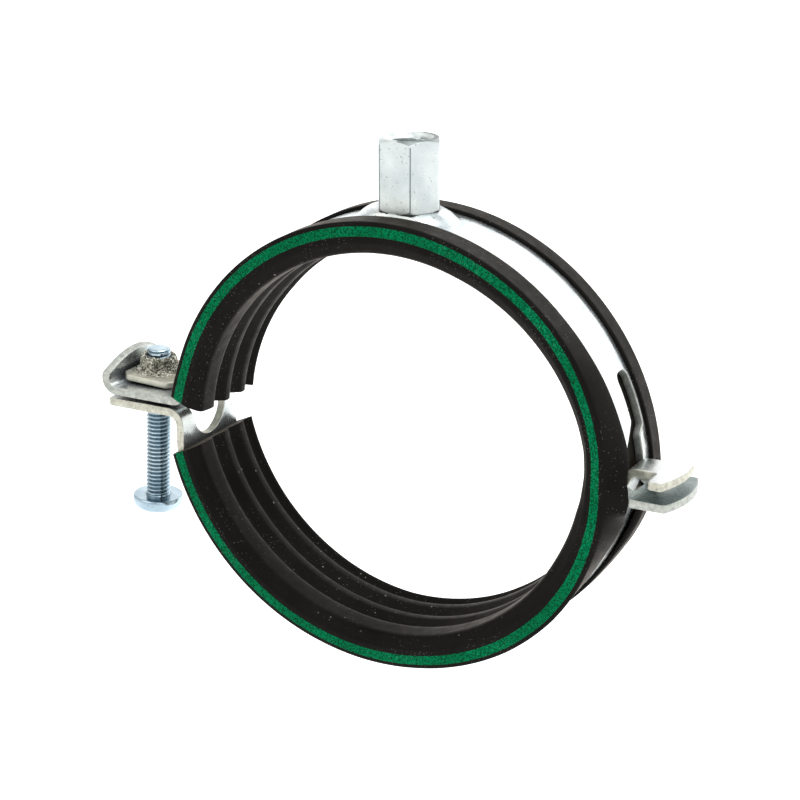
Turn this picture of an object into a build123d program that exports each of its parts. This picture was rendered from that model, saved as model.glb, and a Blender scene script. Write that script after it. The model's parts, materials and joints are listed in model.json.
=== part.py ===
from build123d import *
import math
import os

# Rubber lined pipe clamp: two half bands of zinc plated strip, hooked together at the right
# by a T head in a keyhole, and closed at the left by a screw in a threaded plate.
# Frame: the pipe runs along Y, +X points to the hook, +Z points up through the connection nut.
# The origin is the centre of the upper half's pipe seat. All sizes are in millimetres.

# ---- strip and lining -------------------------------------------------------------------
SEAT_RADIUS = 49.5            # pipe seat, on the crests of the lining's ribs
LINING_THICKNESS = 4.6        # crest of a rib to the strip's inner face
STRIP_THICKNESS = 2.0
STRIP_WIDTH = 23.6
LINING_SIDE = 0.85            # rubber beside the strip's edge
LINING_OVER = 0.9             # rubber lip standing over the strip's outer face
FRONT_LIP = 6.4               # width of the lip on the front, stripe side
REAR_LIP = 5.1
MOUTH_RELIEF = 1.5            # how much wider the seat is at its front mouth
RIB_PITCH = 6.9
RIB_CREST = 1.6               # width of a rib's crest along Y
RIB_DEPTH = 1.6
RIB_FALL = 1.7                # width of a rib's steep rear flank
RIB_COUNT = 3
FIRST_RIB_Y = -7.2            # front corner of the first rib's crest
FIT = 0.1                     # gap between the lining and the strip it is pressed on
STRIPE_INNER_RISE = 4.3       # stripe's inner edge above the pipe seat
STRIPE_WIDTH = 2.2
STRIPE_DEPTH = 0.35
STRIPE_FIT = 0.03

# ---- how the two halves sit -------------------------------------------------------------
LOWER_CENTRE_X = -1.97        # the lower half's own arc centre, with the ring squeezed shut
LOWER_CENTRE_Z = 8.81
HALVES_SPLIT_Z = 2.0          # level where the two linings meet beside the hook
SPLIT_GAP = 0.6
SWING_DEG = 10.5              # travel of the lower half before its ear meets the screw's head
UPPER_END_Z = (7.9, 4.5)      # slanted end of the upper lining at the ears: outer and inner edge
LOWER_END_Z = (-6.4, -3.0)
LIP_STOP_Z = (10.0, 5.0)      # upper lips over the strip stop here, left and right
RIM_EASE_DEG = 40.0           # from here to the hook the front rim is drawn in
RIM_EASE_SHARE = 0.754        # radius of the stripe's middle line there, to that of the rest
LINING_KEEP_OFF = 0.35        # lining to the other half's strip

# ---- closure at the left ----------------------------------------------------------------
LOWER_EAR_TOP = 4.7
EAR_GAP = 0.85                # between the two ears
EAR_REACH = 20.1              # free end of the lower ear, outwards from the strip's middle line
EAR_BEND = 3.0                # bend radius on the strip's middle line
LOWER_LEAVE_DEG = 200.0
LOWER_WALL_OUT = 0.1          # straight wall between the lower arc and the ear
LOWER_WALL_EASE = 15.0        # radius from the arc into that wall
CURL_OUT = 1.6                # corner of the upper ear's turned up end, beyond the lower ear
CURL_BEND = 2.8
CURL_LEAN = 2.1               # how far its tip leans back towards the ring
CURL_TIP_Z = 14.5
CURL_SIDE_DROP = 3.9          # how far the rounded tip falls towards its sides
PORT_WIDTH = 13.4             # opening that lets the screw's head through
PORT_FLOOR_Z = -4.0
PORT_EAR_OUT = 2.4            # centre of the opening's round end in the ear
EAR_SLOT_WIDTH = 6.8
EAR_HOLE_RADIUS = 3.6         # upper ear, round the shank
EAR_SLOT_SPARE = 0.85         # slot beyond the shank, for the swing

# ---- screw and threaded plate -----------------------------------------------------------
SCREW_LEAN_DEG = 2.6          # the screw's tip leans towards the ring
SCREW_INSET = 6.7             # screw axis, inwards from the lower ear's end
SCREW_RADIUS = 3.0
SCREW_LENGTH = 37.1           # under the head
HEAD_RADIUS = 6.2
HEAD_HEIGHT = 3.7
HEAD_SIDE = 1.3               # straight side of the pan head
TIP_CHAMFER = 0.6
SLOT_WIDTH = 1.6
SLOT_DEPTH = 2.0
CROSS_REACH = 3.0
CROSS_WIDTH = 1.3
CROSS_DEPTH = 2.8
SLOT_TURN_DEG = 35.0
SCREW_STANDOUT = 6.2          # tip above the plate's under face
PLATE_HEEL = 5.6              # plate outwards from the screw
PLATE_TOE = 8.6               # plate towards the ring
PLATE_WIDTH = 15.8
PLATE_THICKNESS = 1.5
PLATE_CORNER = 1.6
PLATE_REST_GAP = 0.12
COLLAR_RADIUS = 4.6           # neck drawn up round the plate's thread
COLLAR_HEIGHT = 2.3
THREAD_FIT = 0.05

# ---- hook at the right ------------------------------------------------------------------
HINGE_EDGE = 2.0              # each edge is cut back this far at the hook
HINGE_EDGE_TOP_Z = 16.0       # rear edge; the front edge, under the drawn in rim, starts higher
HINGE_EDGE_FRONT_Z = 33.0
HINGE_EDGE_LOW_Z = 10.5
UPPER_STRAIGHT_DEG = 12.0     # where the upper band leaves its arc
UPPER_WALL_IN = 0.4           # its straight wall, inwards from the arc's widest point
UPPER_WALL_EASE = 18.0
HOOK_EAR_Z = 1.6              # middle of the upper band's outward ear
HOOK_EAR_REACH = 13.8
HOOK_EAR_SAG = 2.2            # fall of the ear's rounded end towards its corners
KEY_SLOT_Y = (1.7, 6.9)       # narrow upper slot, set off to the rear
KEY_SLOT_TOP_Z = 25.6
KEY_SLOT_ROUND = 1.8
KEY_FRONT_Z = (15.6, 9.6)     # slanted front shoulder of the keyhole
KEY_REAR_Z = (13.8, 12.0)
KEY_ROOT_REACH = 2.5          # the window runs this far into the ear
NECK_WIDTH = 8.0
NECK_SIDE_GAP = 0.4
LOWER_STRAIGHT_DEG = -20.0
SHOULDER_Z = -0.7             # top of the lower band's full width
SHOULDER_ROUND = 1.5
HEAD_Z = 6.4                  # middle of the T head
HEAD_REACH = (7.3, 12.8)      # root and end of the T head
HEAD_SAG = 2.2
HEAD_SPAN = 19.6
PIVOT_REACH = 0.9             # about where the neck rocks in the keyhole
PIVOT_Z = 3.2

# ---- connection nut ---------------------------------------------------------------------
NUT_ACROSS_FLATS = 13.5
NUT_HEIGHT = 16.2
NUT_TURN_DEG = -1.5
NUT_SEAT_RISE = 1.7           # pressed seat above the band's crest
NUT_SEAT_RADIUS = 7.8
NUT_SEAT_FLANK = 2.2
SEAT_DIMPLE = 5.6
NUT_CHAMFER = 0.9
TOP_THREAD_RADIUS = 4.25      # bore of the larger, upper thread
TOP_THREAD_DEPTH = 9.5
LOW_THREAD_RADIUS = 3.4
MOUTH_RADIUS = 5.6

# ---- sizes that follow ------------------------------------------------------------------
STRIP_INNER = SEAT_RADIUS + LINING_THICKNESS
STRIP_OUTER = STRIP_INNER + STRIP_THICKNESS
STRIP_MIDDLE = STRIP_INNER + STRIP_THICKNESS / 2
LINING_OUTER = STRIP_OUTER + LINING_OVER
LINING_WIDTH = STRIP_WIDTH + 2 * LINING_SIDE
FRONT_Y = -LINING_WIDTH / 2
REAR_Y = LINING_WIDTH / 2
LOWER_CENTRE = (LOWER_CENTRE_X, LOWER_CENTRE_Z)
EAR_END_X = -STRIP_MIDDLE - EAR_REACH
LOWER_WALL_X = -STRIP_MIDDLE - LOWER_WALL_OUT
CURL_X = EAR_END_X - CURL_OUT
CURL_TIP_X = CURL_X + CURL_LEAN
PORT_EAR_X = -STRIP_MIDDLE - PORT_EAR_OUT
SCREW_X = EAR_END_X + SCREW_INSET
UPPER_WALL_X = STRIP_MIDDLE - UPPER_WALL_IN
HOOK_EAR_END_X = STRIP_MIDDLE + HOOK_EAR_REACH
KEY_ROOT_X = STRIP_MIDDLE + KEY_ROOT_REACH
HEAD_START_X = STRIP_MIDDLE + HEAD_REACH[0]
HEAD_END_X = STRIP_MIDDLE + HEAD_REACH[1]
HOOK_PIVOT = (STRIP_MIDDLE + PIVOT_REACH, PIVOT_Z)
STRIPE_MIDDLE = SEAT_RADIUS + STRIPE_INNER_RISE + STRIPE_WIDTH / 2
RIM_EASE_RADIUS = RIM_EASE_SHARE * STRIPE_MIDDLE
LOWER_EAR_Z = LOWER_EAR_TOP - STRIP_THICKNESS / 2
UPPER_EAR_Z = LOWER_EAR_TOP + EAR_GAP + STRIP_THICKNESS / 2
UPPER_EAR_TOP = UPPER_EAR_Z + STRIP_THICKNESS / 2
UPPER_LEAVE_DEG = 180 - math.degrees(math.asin((UPPER_EAR_Z + EAR_BEND) / STRIP_MIDDLE))
HOOK_WIDTH = STRIP_WIDTH - 2 * HINGE_EDGE
WINDOW_WIDTH = NECK_WIDTH + 2 * NECK_SIDE_GAP
PLATE_REST_Z = UPPER_EAR_TOP + PLATE_REST_GAP + PLATE_TOE * math.sin(math.radians(SCREW_LEAN_DEG))
SEAT_Z = STRIP_OUTER + NUT_SEAT_RISE
BIG = 400.0


def on_circle(centre, radius, degrees):
    """Point of a circle in the X-Z plane."""
    angle = math.radians(degrees)
    return (centre[0] + radius * math.cos(angle), centre[1] + radius * math.sin(angle))


def meet_x(point, direction, x):
    """Where the line from point along direction reaches a given x."""
    run = (x - point[0]) / direction[0]
    return (x, point[1] + run * direction[1])


def meet_z(point, direction, z):
    """Where the line from point along direction reaches a given z."""
    run = (z - point[1]) / direction[1]
    return (point[0] + run * direction[0], z)


def joined(*curves):
    """One wire through curves that are given in order."""
    return Wire([edge for curve in curves for edge in curve.edges()])


def upper_path():
    """Middle line of the upper band: turned up end, ear, arc, straight wall, hook ear."""
    leave = on_circle((0, 0), STRIP_MIDDLE, UPPER_LEAVE_DEG)
    angle = math.radians(UPPER_LEAVE_DEG)
    root = meet_z(leave, (math.sin(angle), -math.cos(angle)), UPPER_EAR_Z)
    corner = (CURL_X, UPPER_EAR_Z)
    left = FilletPolyline(leave, root, corner, (CURL_TIP_X, CURL_TIP_Z), radius=[EAR_BEND, CURL_BEND])
    arc = CenterArc((0, 0), STRIP_MIDDLE, UPPER_STRAIGHT_DEG, UPPER_LEAVE_DEG - UPPER_STRAIGHT_DEG)
    start = on_circle((0, 0), STRIP_MIDDLE, UPPER_STRAIGHT_DEG)
    angle = math.radians(UPPER_STRAIGHT_DEG)
    kink = meet_x(start, (math.sin(angle), -math.cos(angle)), UPPER_WALL_X)
    foot = (UPPER_WALL_X, HOOK_EAR_Z)
    end = (HOOK_EAR_END_X, HOOK_EAR_Z)
    right = FilletPolyline(start, kink, foot, end, radius=[UPPER_WALL_EASE, EAR_BEND])
    return joined(left, arc, right)


def lower_path():
    """Middle line of the lower band: ear, straight wall, arc, straight neck, T head."""
    leave = on_circle(LOWER_CENTRE, STRIP_MIDDLE, LOWER_LEAVE_DEG)
    angle = math.radians(LOWER_LEAVE_DEG)
    kink = meet_x(leave, (math.sin(angle), -math.cos(angle)), LOWER_WALL_X)
    root = (LOWER_WALL_X, LOWER_EAR_Z)
    end = (EAR_END_X, LOWER_EAR_Z)
    left = FilletPolyline(leave, kink, root, end, radius=[LOWER_WALL_EASE, EAR_BEND])
    sweep = 360 + LOWER_STRAIGHT_DEG - LOWER_LEAVE_DEG
    arc = CenterArc(LOWER_CENTRE, STRIP_MIDDLE, LOWER_LEAVE_DEG, sweep)
    start = on_circle(LOWER_CENTRE, STRIP_MIDDLE, LOWER_STRAIGHT_DEG)
    angle = math.radians(LOWER_STRAIGHT_DEG)
    bend = meet_z(start, (-math.sin(angle), math.cos(angle)), HEAD_Z)
    right = FilletPolyline(start, bend, (HEAD_END_X, HEAD_Z), radius=EAR_BEND)
    return joined(left, arc, right)


def strip_along(path, width, extra=0.0):
    """Strip of the band's thickness, plus extra on each face, centred on a middle line."""
    section = trace(path, STRIP_THICKNESS + 2 * extra)
    return extrude(Plane.XZ * section, width / 2, both=True)


def through_x(outline, x_from, x_to):
    """Prism along X from an outline drawn with Y across and Z up."""
    return extrude(Plane.YZ.offset(x_from) * outline, x_to - x_from)


def through_z(outline, z_from, z_to):
    """Prism along Z from an outline drawn in X and Y."""
    return extrude(Plane.XY.offset(z_from) * outline, z_to - z_from)


def block(x_range, y_range, z_range):
    """Box between two corners."""
    size = [high - low for low, high in (x_range, y_range, z_range)]
    middle = [(high + low) / 2 for low, high in (x_range, y_range, z_range)]
    return Location(tuple(middle)) * Box(*size)


def rounded_end(inner_x, end_x, span, sag):
    """Plan of a tongue that runs from inner_x to a bowed end at end_x."""
    side = span / 2
    outline = Polyline((end_x - sag, -side), (inner_x, -side), (inner_x, side), (end_x - sag, side))
    bow = ThreePointArc((end_x - sag, side), (end_x, 0), (end_x - sag, -side))
    return make_face([*outline.edges(), *bow.edges()])


def hinge_side_cutters():
    """Two prisms that narrow the upper band's edges towards the hook."""
    side = STRIP_WIDTH / 2
    low = HINGE_EDGE_LOW_Z
    cutters = []
    for hand, top in ((1, HINGE_EDGE_TOP_Z), (-1, HINGE_EDGE_FRONT_Z)):
        edge, cut, out = hand * side, hand * (side - HINGE_EDGE), hand * (side + 1)
        outline = Polyline((edge, top), (cut, low), (cut, -BIG), (out, -BIG), (out, top), close=True)
        cutters.append(through_x(make_face(outline), STRIP_MIDDLE / 2, BIG))
    return cutters[0] + cutters[1]


def keyhole():
    """Window for the neck, with the narrow slot above it that lets the T head in edgewise."""
    window = WINDOW_WIDTH / 2
    slot_front, slot_rear = KEY_SLOT_Y
    outline = Polyline(
        (slot_front, KEY_SLOT_TOP_Z), (slot_front, KEY_FRONT_Z[0]), (-window, KEY_FRONT_Z[1]),
        (-window, -STRIP_THICKNESS), (window, -STRIP_THICKNESS), (window, KEY_REAR_Z[1]),
        (slot_rear, KEY_REAR_Z[0]), (slot_rear, KEY_SLOT_TOP_Z), close=True)
    shape = make_face(outline)
    shape = fillet(shape.vertices().filter_by(lambda v: v.Y > KEY_SLOT_TOP_Z - 1), KEY_SLOT_ROUND)
    return through_x(shape, STRIP_MIDDLE / 2, KEY_ROOT_X)


def nut_seat():
    """Low pressed seat under the nut, hollow on its inner side."""
    flank = NUT_SEAT_RADIUS + NUT_SEAT_FLANK
    base_z = STRIP_INNER + STRIP_THICKNESS / 10
    flank_z = STRIP_OUTER - flank**2 / (2 * STRIP_OUTER) - STRIP_THICKNESS / 10
    profile = Polyline(
        (0, base_z), (flank, base_z), (flank, flank_z), (NUT_SEAT_RADIUS, SEAT_Z), (0, SEAT_Z), close=True)
    seat = revolve(Plane.XZ * make_face(profile), Axis.Z)
    bare = (FRONT_Y + FRONT_LIP + 2 * FIT, REAR_Y - REAR_LIP - 2 * FIT)
    return seat & block((-BIG, BIG), bare, (0, BIG))


def curl_trimmer():
    """Everything above the bowed edge of the turned up end."""
    side = STRIP_WIDTH / 2
    shoulder = CURL_TIP_Z - CURL_SIDE_DROP
    lid_z = CURL_TIP_Z + STRIP_THICKNESS
    bow = ThreePointArc((side, shoulder), (0, CURL_TIP_Z), (-side, shoulder))
    lid = Polyline((-side, shoulder), (-side - 1, shoulder), (-side - 1, lid_z), (side + 1, lid_z),
                   (side + 1, shoulder), (side, shoulder))
    above = make_face([*bow.edges(), *lid.edges()])
    return through_x(above, CURL_X - STRIP_THICKNESS, CURL_TIP_X + EAR_BEND)


def upper_band():
    """Upper half band, folded from one strip."""
    path = upper_path()
    band = strip_along(path, STRIP_WIDTH)
    band += nut_seat()
    dimple_z = (STRIP_INNER - 1, STRIP_INNER + NUT_SEAT_RISE / 2)
    band -= through_z(Circle(SEAT_DIMPLE), *dimple_z)
    band -= hinge_side_cutters()
    band -= keyhole()
    tongue = rounded_end(0, HOOK_EAR_END_X, HOOK_WIDTH, HOOK_EAR_SAG)
    ear_zone = block((UPPER_WALL_X + EAR_BEND, BIG), (-BIG, BIG), (-BIG, HOOK_EAR_Z + STRIP_THICKNESS))
    band -= ear_zone - through_z(tongue, -BIG / 4, BIG / 4)
    band -= curl_trimmer()
    band -= through_z(Location((SCREW_X, 0)) * Circle(EAR_HOLE_RADIUS), LOWER_EAR_TOP, UPPER_EAR_TOP + 1)
    return band


def screw_port():
    """Opening through the lower wall, bend and ear: head size, then a slot for the shank."""
    radius = PORT_WIDTH / 2
    centre_z = PORT_FLOOR_Z + radius
    tall = LOWER_EAR_TOP + STRIP_THICKNESS - centre_z
    wall = Location((0, centre_z)) * Circle(radius)
    wall += Location((0, centre_z + tall / 2)) * Rectangle(PORT_WIDTH, tall)
    port = through_x(wall, PORT_EAR_X, LOWER_WALL_X + STRIP_THICKNESS)
    round_x = SCREW_X - SCREW_RADIUS - EAR_SLOT_SPARE + EAR_SLOT_WIDTH / 2
    ear = Location((PORT_EAR_X, 0)) * Circle(radius)
    ear += Location((round_x, 0)) * Circle(EAR_SLOT_WIDTH / 2)
    ear += Location(((round_x + PORT_EAR_X) / 2, 0)) * Rectangle(PORT_EAR_X - round_x, EAR_SLOT_WIDTH)
    return port + through_z(ear, LOWER_EAR_Z - STRIP_THICKNESS, LOWER_EAR_TOP + EAR_GAP / 2)


def lower_band():
    """Lower half band, folded from one strip, with the neck and T head of the hook."""
    band = strip_along(lower_path(), STRIP_WIDTH)
    band -= screw_port()
    neck = NECK_WIDTH / 2
    side = STRIP_WIDTH / 2 + 1
    over = HEAD_Z + EAR_BEND
    cheek = make_face(Polyline((neck, SHOULDER_Z), (side, SHOULDER_Z), (side, over), (neck, over), close=True))
    cheek = fillet(cheek.vertices().sort_by_distance((neck, SHOULDER_Z))[0], SHOULDER_ROUND)
    cheek = through_x(cheek, STRIP_MIDDLE / 2, HEAD_START_X)
    band -= cheek + mirror(cheek, Plane.XZ)
    tongue = rounded_end(0, HEAD_END_X, HEAD_SPAN, HEAD_SAG)
    head_zone = block((HEAD_START_X - STRIP_THICKNESS, BIG), (-BIG, BIG), (HEAD_Z - STRIP_THICKNESS, BIG))
    band -= head_zone - through_z(tongue, -BIG / 4, BIG)
    return band


def lining_section():
    """Half turn section of the lining, drawn with the radius across and Y up."""
    mouth = SEAT_RADIUS + MOUTH_RELIEF
    valley = SEAT_RADIUS + RIB_DEPTH
    inside = [(mouth, FRONT_Y)]
    for number in range(RIB_COUNT):
        front = FIRST_RIB_Y + number * RIB_PITCH
        inside.append((SEAT_RADIUS, front))
        inside.append((SEAT_RADIUS, front + RIB_CREST))
        inside.append((valley, front + RIB_CREST + RIB_FALL))
    inside.append((SEAT_RADIUS, REAR_Y))
    front_foot = FRONT_Y + FRONT_LIP
    rear_foot = REAR_Y - REAR_LIP
    outside = [
        (LINING_OUTER, REAR_Y), (LINING_OUTER, rear_foot), (STRIP_MIDDLE, rear_foot),
        (STRIP_MIDDLE, front_foot), (LINING_OUTER, front_foot), (LINING_OUTER, FRONT_Y)]
    return make_face(Polyline(*inside, *outside, close=True))


def lining_ring():
    """Lining as a full ring about the Y axis."""
    return revolve(lining_section(), Axis.Y)


def end_cut(end_z, split_z, far_z):
    """Prism of one half's side: a slanted end at the left, a level split at the right."""
    ax, az = -LINING_OUTER, end_z[0]
    bx, bz = -SEAT_RADIUS, end_z[1]
    slope = (bz - az) / (bx - ax)
    outline = Polyline(
        (-BIG, az - slope * (BIG + ax)), (bx / 2, az + slope * (bx / 2 - ax)), (0, split_z),
        (BIG, split_z), (BIG, far_z), (-BIG, far_z), close=True)
    return extrude(Plane.XZ * make_face(outline), LINING_WIDTH, both=True)


def front_plate(outline, depth):
    """Inlay cut from an X-Z outline, reaching from the front face to a depth."""
    return extrude(Plane.XZ.offset(-FRONT_Y - depth) * outline, depth)


def rim_ease_centre():
    """Centre of the smaller arc that the front rim follows beside the hook."""
    return on_circle((0, 0), STRIPE_MIDDLE - RIM_EASE_RADIUS, RIM_EASE_DEG)


def stripe_line(centre):
    """Middle line of the stripe; about the upper centre it is drawn in towards the hook."""
    if centre == LOWER_CENTRE:
        return joined(CenterArc(centre, STRIPE_MIDDLE, 150, 250))
    ease = rim_ease_centre()
    drawn_in = CenterArc(ease, RIM_EASE_RADIUS, -30, RIM_EASE_DEG + 30)
    return joined(drawn_in, CenterArc(centre, STRIPE_MIDDLE, RIM_EASE_DEG, 190 - RIM_EASE_DEG))


def stripe(centre, half, fit):
    """Coloured stripe of one half; fit narrows it inside its groove."""
    band = trace(stripe_line(centre), STRIPE_WIDTH - 2 * fit)
    return front_plate(band, STRIPE_DEPTH) & half


def rim_trimmer():
    """Front rim material that is absent where the upper half's rim is drawn in."""
    kept = RIM_EASE_RADIUS + STRIPE_WIDTH / 2 + LINING_OVER
    ray = on_circle((0, 0), BIG, RIM_EASE_DEG)
    wedge = make_face(Polyline((0, -BIG), (0, 0), ray, (BIG, -BIG), close=True))
    outside = wedge - Location(rim_ease_centre()) * Circle(kept)
    side = STRIP_WIDTH / 2 + FIT
    top, low = HINGE_EDGE_FRONT_Z, HINGE_EDGE_LOW_Z
    beyond = Polyline(
        (-side, BIG), (-side, top), (HINGE_EDGE - side, low), (HINGE_EDGE - side, -BIG), (-BIG, -BIG),
        (-BIG, BIG), close=True)
    return extrude(Plane.XZ * outside, BIG, both=True) & through_x(make_face(beyond), 0, BIG)


def upper_liner():
    """Rubber lining of the upper half, moulded round the strip's edges."""
    half = end_cut(UPPER_END_Z, HALVES_SPLIT_Z + SPLIT_GAP / 2, BIG)
    liner = lining_ring() & half
    liner -= strip_along(upper_path(), STRIP_WIDTH + 2 * FIT, FIT)
    side = (-STRIP_WIDTH / 2 - FIT, STRIP_WIDTH / 2 + FIT)
    liner -= block((-BIG, -STRIP_OUTER - FIT / 2), side, (-BIG, LIP_STOP_Z[0]))
    liner -= block((STRIP_OUTER - FIT, BIG), (-BIG, BIG), (-BIG, LIP_STOP_Z[1]))
    liner -= rim_trimmer()
    neck = strip_along(lower_path(), NECK_WIDTH + 2 * NECK_SIDE_GAP, LINING_KEEP_OFF)
    liner -= neck
    liner -= neck.rotate(Axis((HOOK_PIVOT[0], 0, HOOK_PIVOT[1]), (0, -1, 0)), SWING_DEG)
    return liner - stripe((0, 0), half, 0.0)


def lower_liner():
    """Rubber lining of the lower half."""
    half = end_cut(LOWER_END_Z, HALVES_SPLIT_Z - SPLIT_GAP / 2, -BIG)
    liner = Location((LOWER_CENTRE_X, 0, LOWER_CENTRE_Z)) * lining_ring() & half
    liner -= strip_along(lower_path(), STRIP_WIDTH + 2 * FIT, FIT)
    liner -= strip_along(upper_path(), STRIP_WIDTH, LINING_KEEP_OFF)
    return liner - stripe(LOWER_CENTRE, half, 0.0)


def upper_stripe():
    """Stripe inlaid in the upper lining's front face."""
    return stripe((0, 0), end_cut(UPPER_END_Z, HALVES_SPLIT_Z + SPLIT_GAP / 2 + STRIPE_FIT, BIG), STRIPE_FIT)


def lower_stripe():
    """Stripe inlaid in the lower lining's front face."""
    half = end_cut(LOWER_END_Z, HALVES_SPLIT_Z - SPLIT_GAP / 2 - STRIPE_FIT, -BIG)
    return stripe(LOWER_CENTRE, half, STRIPE_FIT)


def connection_nut():
    """Tall hexagonal nut welded on the crest, with a larger thread above a smaller one."""
    hexagon = Rotation(0, 0, NUT_TURN_DEG) * RegularPolygon(NUT_ACROSS_FLATS / 2, 6, major_radius=False)
    nut = through_z(hexagon, SEAT_Z, SEAT_Z + NUT_HEIGHT)
    corner = NUT_ACROSS_FLATS / math.sqrt(3)
    top = SEAT_Z + NUT_HEIGHT
    slope = (corner - NUT_ACROSS_FLATS / 2 + 0.1) / NUT_CHAMFER
    turned = Polyline(
        (0, SEAT_Z), (corner, SEAT_Z), (corner + 1, SEAT_Z + 1), (corner + 1, top - NUT_CHAMFER - 1 / slope),
        (corner - slope * NUT_CHAMFER, top), (0, top), close=True)
    nut = nut & revolve(Plane.XZ * make_face(turned), Axis.Z)
    sink = MOUTH_RADIUS - TOP_THREAD_RADIUS
    drill = Polyline(
        (0, SEAT_Z), (LOW_THREAD_RADIUS, SEAT_Z), (LOW_THREAD_RADIUS, top - TOP_THREAD_DEPTH - 0.8),
        (TOP_THREAD_RADIUS, top - TOP_THREAD_DEPTH), (TOP_THREAD_RADIUS, top - sink), (MOUTH_RADIUS, top),
        (0, top), close=True)
    return nut - revolve(Plane.XZ * make_face(drill), Axis.Z)


def screw_frame(height=0.0):
    """Location on the screw's axis: its X axis points to the ring, its Z axis to the screw's tip."""
    return Location((SCREW_X, 0, PLATE_REST_Z), (0, SCREW_LEAN_DEG, 0)) * Location((0, 0, height))


def threaded_plate():
    """Small plate over the upper ear, with a drawn neck that carries the thread."""
    plan = Location(((PLATE_TOE - PLATE_HEEL) / 2, 0)) * Rectangle(PLATE_HEEL + PLATE_TOE, PLATE_WIDTH)
    plan = chamfer(plan.vertices(), PLATE_CORNER)
    plate = extrude(plan, PLATE_THICKNESS)
    rise = COLLAR_HEIGHT / 2
    plate += Location((0, 0, PLATE_THICKNESS - rise / 2)) * Cylinder(COLLAR_RADIUS, rise)
    collar = Cylinder(COLLAR_RADIUS, COLLAR_HEIGHT, align=(Align.CENTER, Align.CENTER, Align.MIN))
    plate += Location((0, 0, PLATE_THICKNESS)) * collar
    bore = Cylinder(SCREW_RADIUS + THREAD_FIT, 4 * (PLATE_THICKNESS + COLLAR_HEIGHT))
    return screw_frame() * (plate - bore)


def closing_screw():
    """Pan head screw, threaded over its whole shank, with a slot and a small cross."""
    rise = HEAD_HEIGHT - HEAD_SIDE
    under = SCREW_STANDOUT - SCREW_LENGTH
    base = under - HEAD_HEIGHT
    profile = Polyline(
        (0, base), (0, SCREW_STANDOUT), (SCREW_RADIUS - TIP_CHAMFER, SCREW_STANDOUT),
        (SCREW_RADIUS, SCREW_STANDOUT - TIP_CHAMFER), (SCREW_RADIUS, under), (HEAD_RADIUS, under),
        (HEAD_RADIUS, under - HEAD_SIDE), (HEAD_RADIUS * 0.88, base + rise * 0.3),
        (HEAD_RADIUS * 0.6, base), close=True)
    screw = revolve(Plane.XZ * make_face(profile), Axis.Z)
    slot = Box(4 * HEAD_RADIUS, SLOT_WIDTH, SLOT_DEPTH)
    cross = Box(CROSS_WIDTH, 2 * CROSS_REACH, CROSS_DEPTH) + Box(2 * CROSS_REACH, CROSS_WIDTH, CROSS_DEPTH)
    screw -= Location((0, 0, base + SLOT_DEPTH / 2)) * slot
    screw -= Location((0, 0, base + CROSS_DEPTH / 2)) * cross
    return screw_frame() * Rotation(0, 0, SLOT_TURN_DEG) * screw


NODES = {
    "upper_band": upper_band,
    "lower_band": lower_band,
    "upper_liner": upper_liner,
    "lower_liner": lower_liner,
    "upper_stripe": upper_stripe,
    "lower_stripe": lower_stripe,
    "connection_nut": connection_nut,
    "threaded_plate": threaded_plate,
    "closing_screw": closing_screw,
}

os.makedirs("parts", exist_ok=True)
for node, build in NODES.items():
    solid = build()
    solid.label = node
    export_step(solid, f"parts/{node}.step")
    box = solid.bounding_box()
    print(f"{node}: {len(solid.solids())} solid, {solid.volume:.0f} mm3, {box.min} to {box.max}")
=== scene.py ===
# %% [markdown]
# # Rubber lined pipe clamp
# Two folded half bands of zinc plated strip are hooked together at the right and closed by a
# screw at the left. Each half carries a ribbed rubber lining with a coloured stripe on its face.
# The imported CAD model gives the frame, and this script dresses it. Primitives and modifiers could
# be pushed into these shapes by hand, but a folded strip and an extruded rubber section are both
# a profile carried along a line, so numpy works them out from a few named lengths instead.
# The axes are the CAD model's own: the pipe runs along Y, the hook is at +X, and +Z points up
# through the connection nut.

# %% Frame
import json
import math

import bmesh
import bpy
import numpy as np
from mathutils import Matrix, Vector
from mathutils.geometry import delaunay_2d_cdt

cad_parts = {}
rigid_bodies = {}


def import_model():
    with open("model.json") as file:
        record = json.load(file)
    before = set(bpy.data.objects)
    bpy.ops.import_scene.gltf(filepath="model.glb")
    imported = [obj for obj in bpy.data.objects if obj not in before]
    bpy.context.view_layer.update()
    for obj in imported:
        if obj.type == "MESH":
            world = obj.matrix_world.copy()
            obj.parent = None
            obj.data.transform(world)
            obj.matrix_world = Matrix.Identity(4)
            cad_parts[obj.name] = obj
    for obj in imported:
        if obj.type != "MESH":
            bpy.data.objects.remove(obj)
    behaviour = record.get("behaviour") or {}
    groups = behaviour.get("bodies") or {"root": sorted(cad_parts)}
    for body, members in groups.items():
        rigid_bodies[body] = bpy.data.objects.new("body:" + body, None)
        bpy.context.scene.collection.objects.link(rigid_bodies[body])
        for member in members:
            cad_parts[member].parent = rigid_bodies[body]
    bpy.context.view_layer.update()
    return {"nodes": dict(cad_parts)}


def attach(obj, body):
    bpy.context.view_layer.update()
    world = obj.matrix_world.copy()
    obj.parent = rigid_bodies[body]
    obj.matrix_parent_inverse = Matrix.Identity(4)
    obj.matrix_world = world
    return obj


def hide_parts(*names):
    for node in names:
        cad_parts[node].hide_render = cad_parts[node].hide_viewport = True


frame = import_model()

MM = 0.001
print("CAD nodes:", sorted(frame["nodes"]))

# %% [markdown]
# ## Lengths
# The values are those of the CAD source, so that both models share one frame. They are in
# millimetres, because that is how a maker thinks of a clamp, and a mesh is turned to metres when
# it is made.

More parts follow.
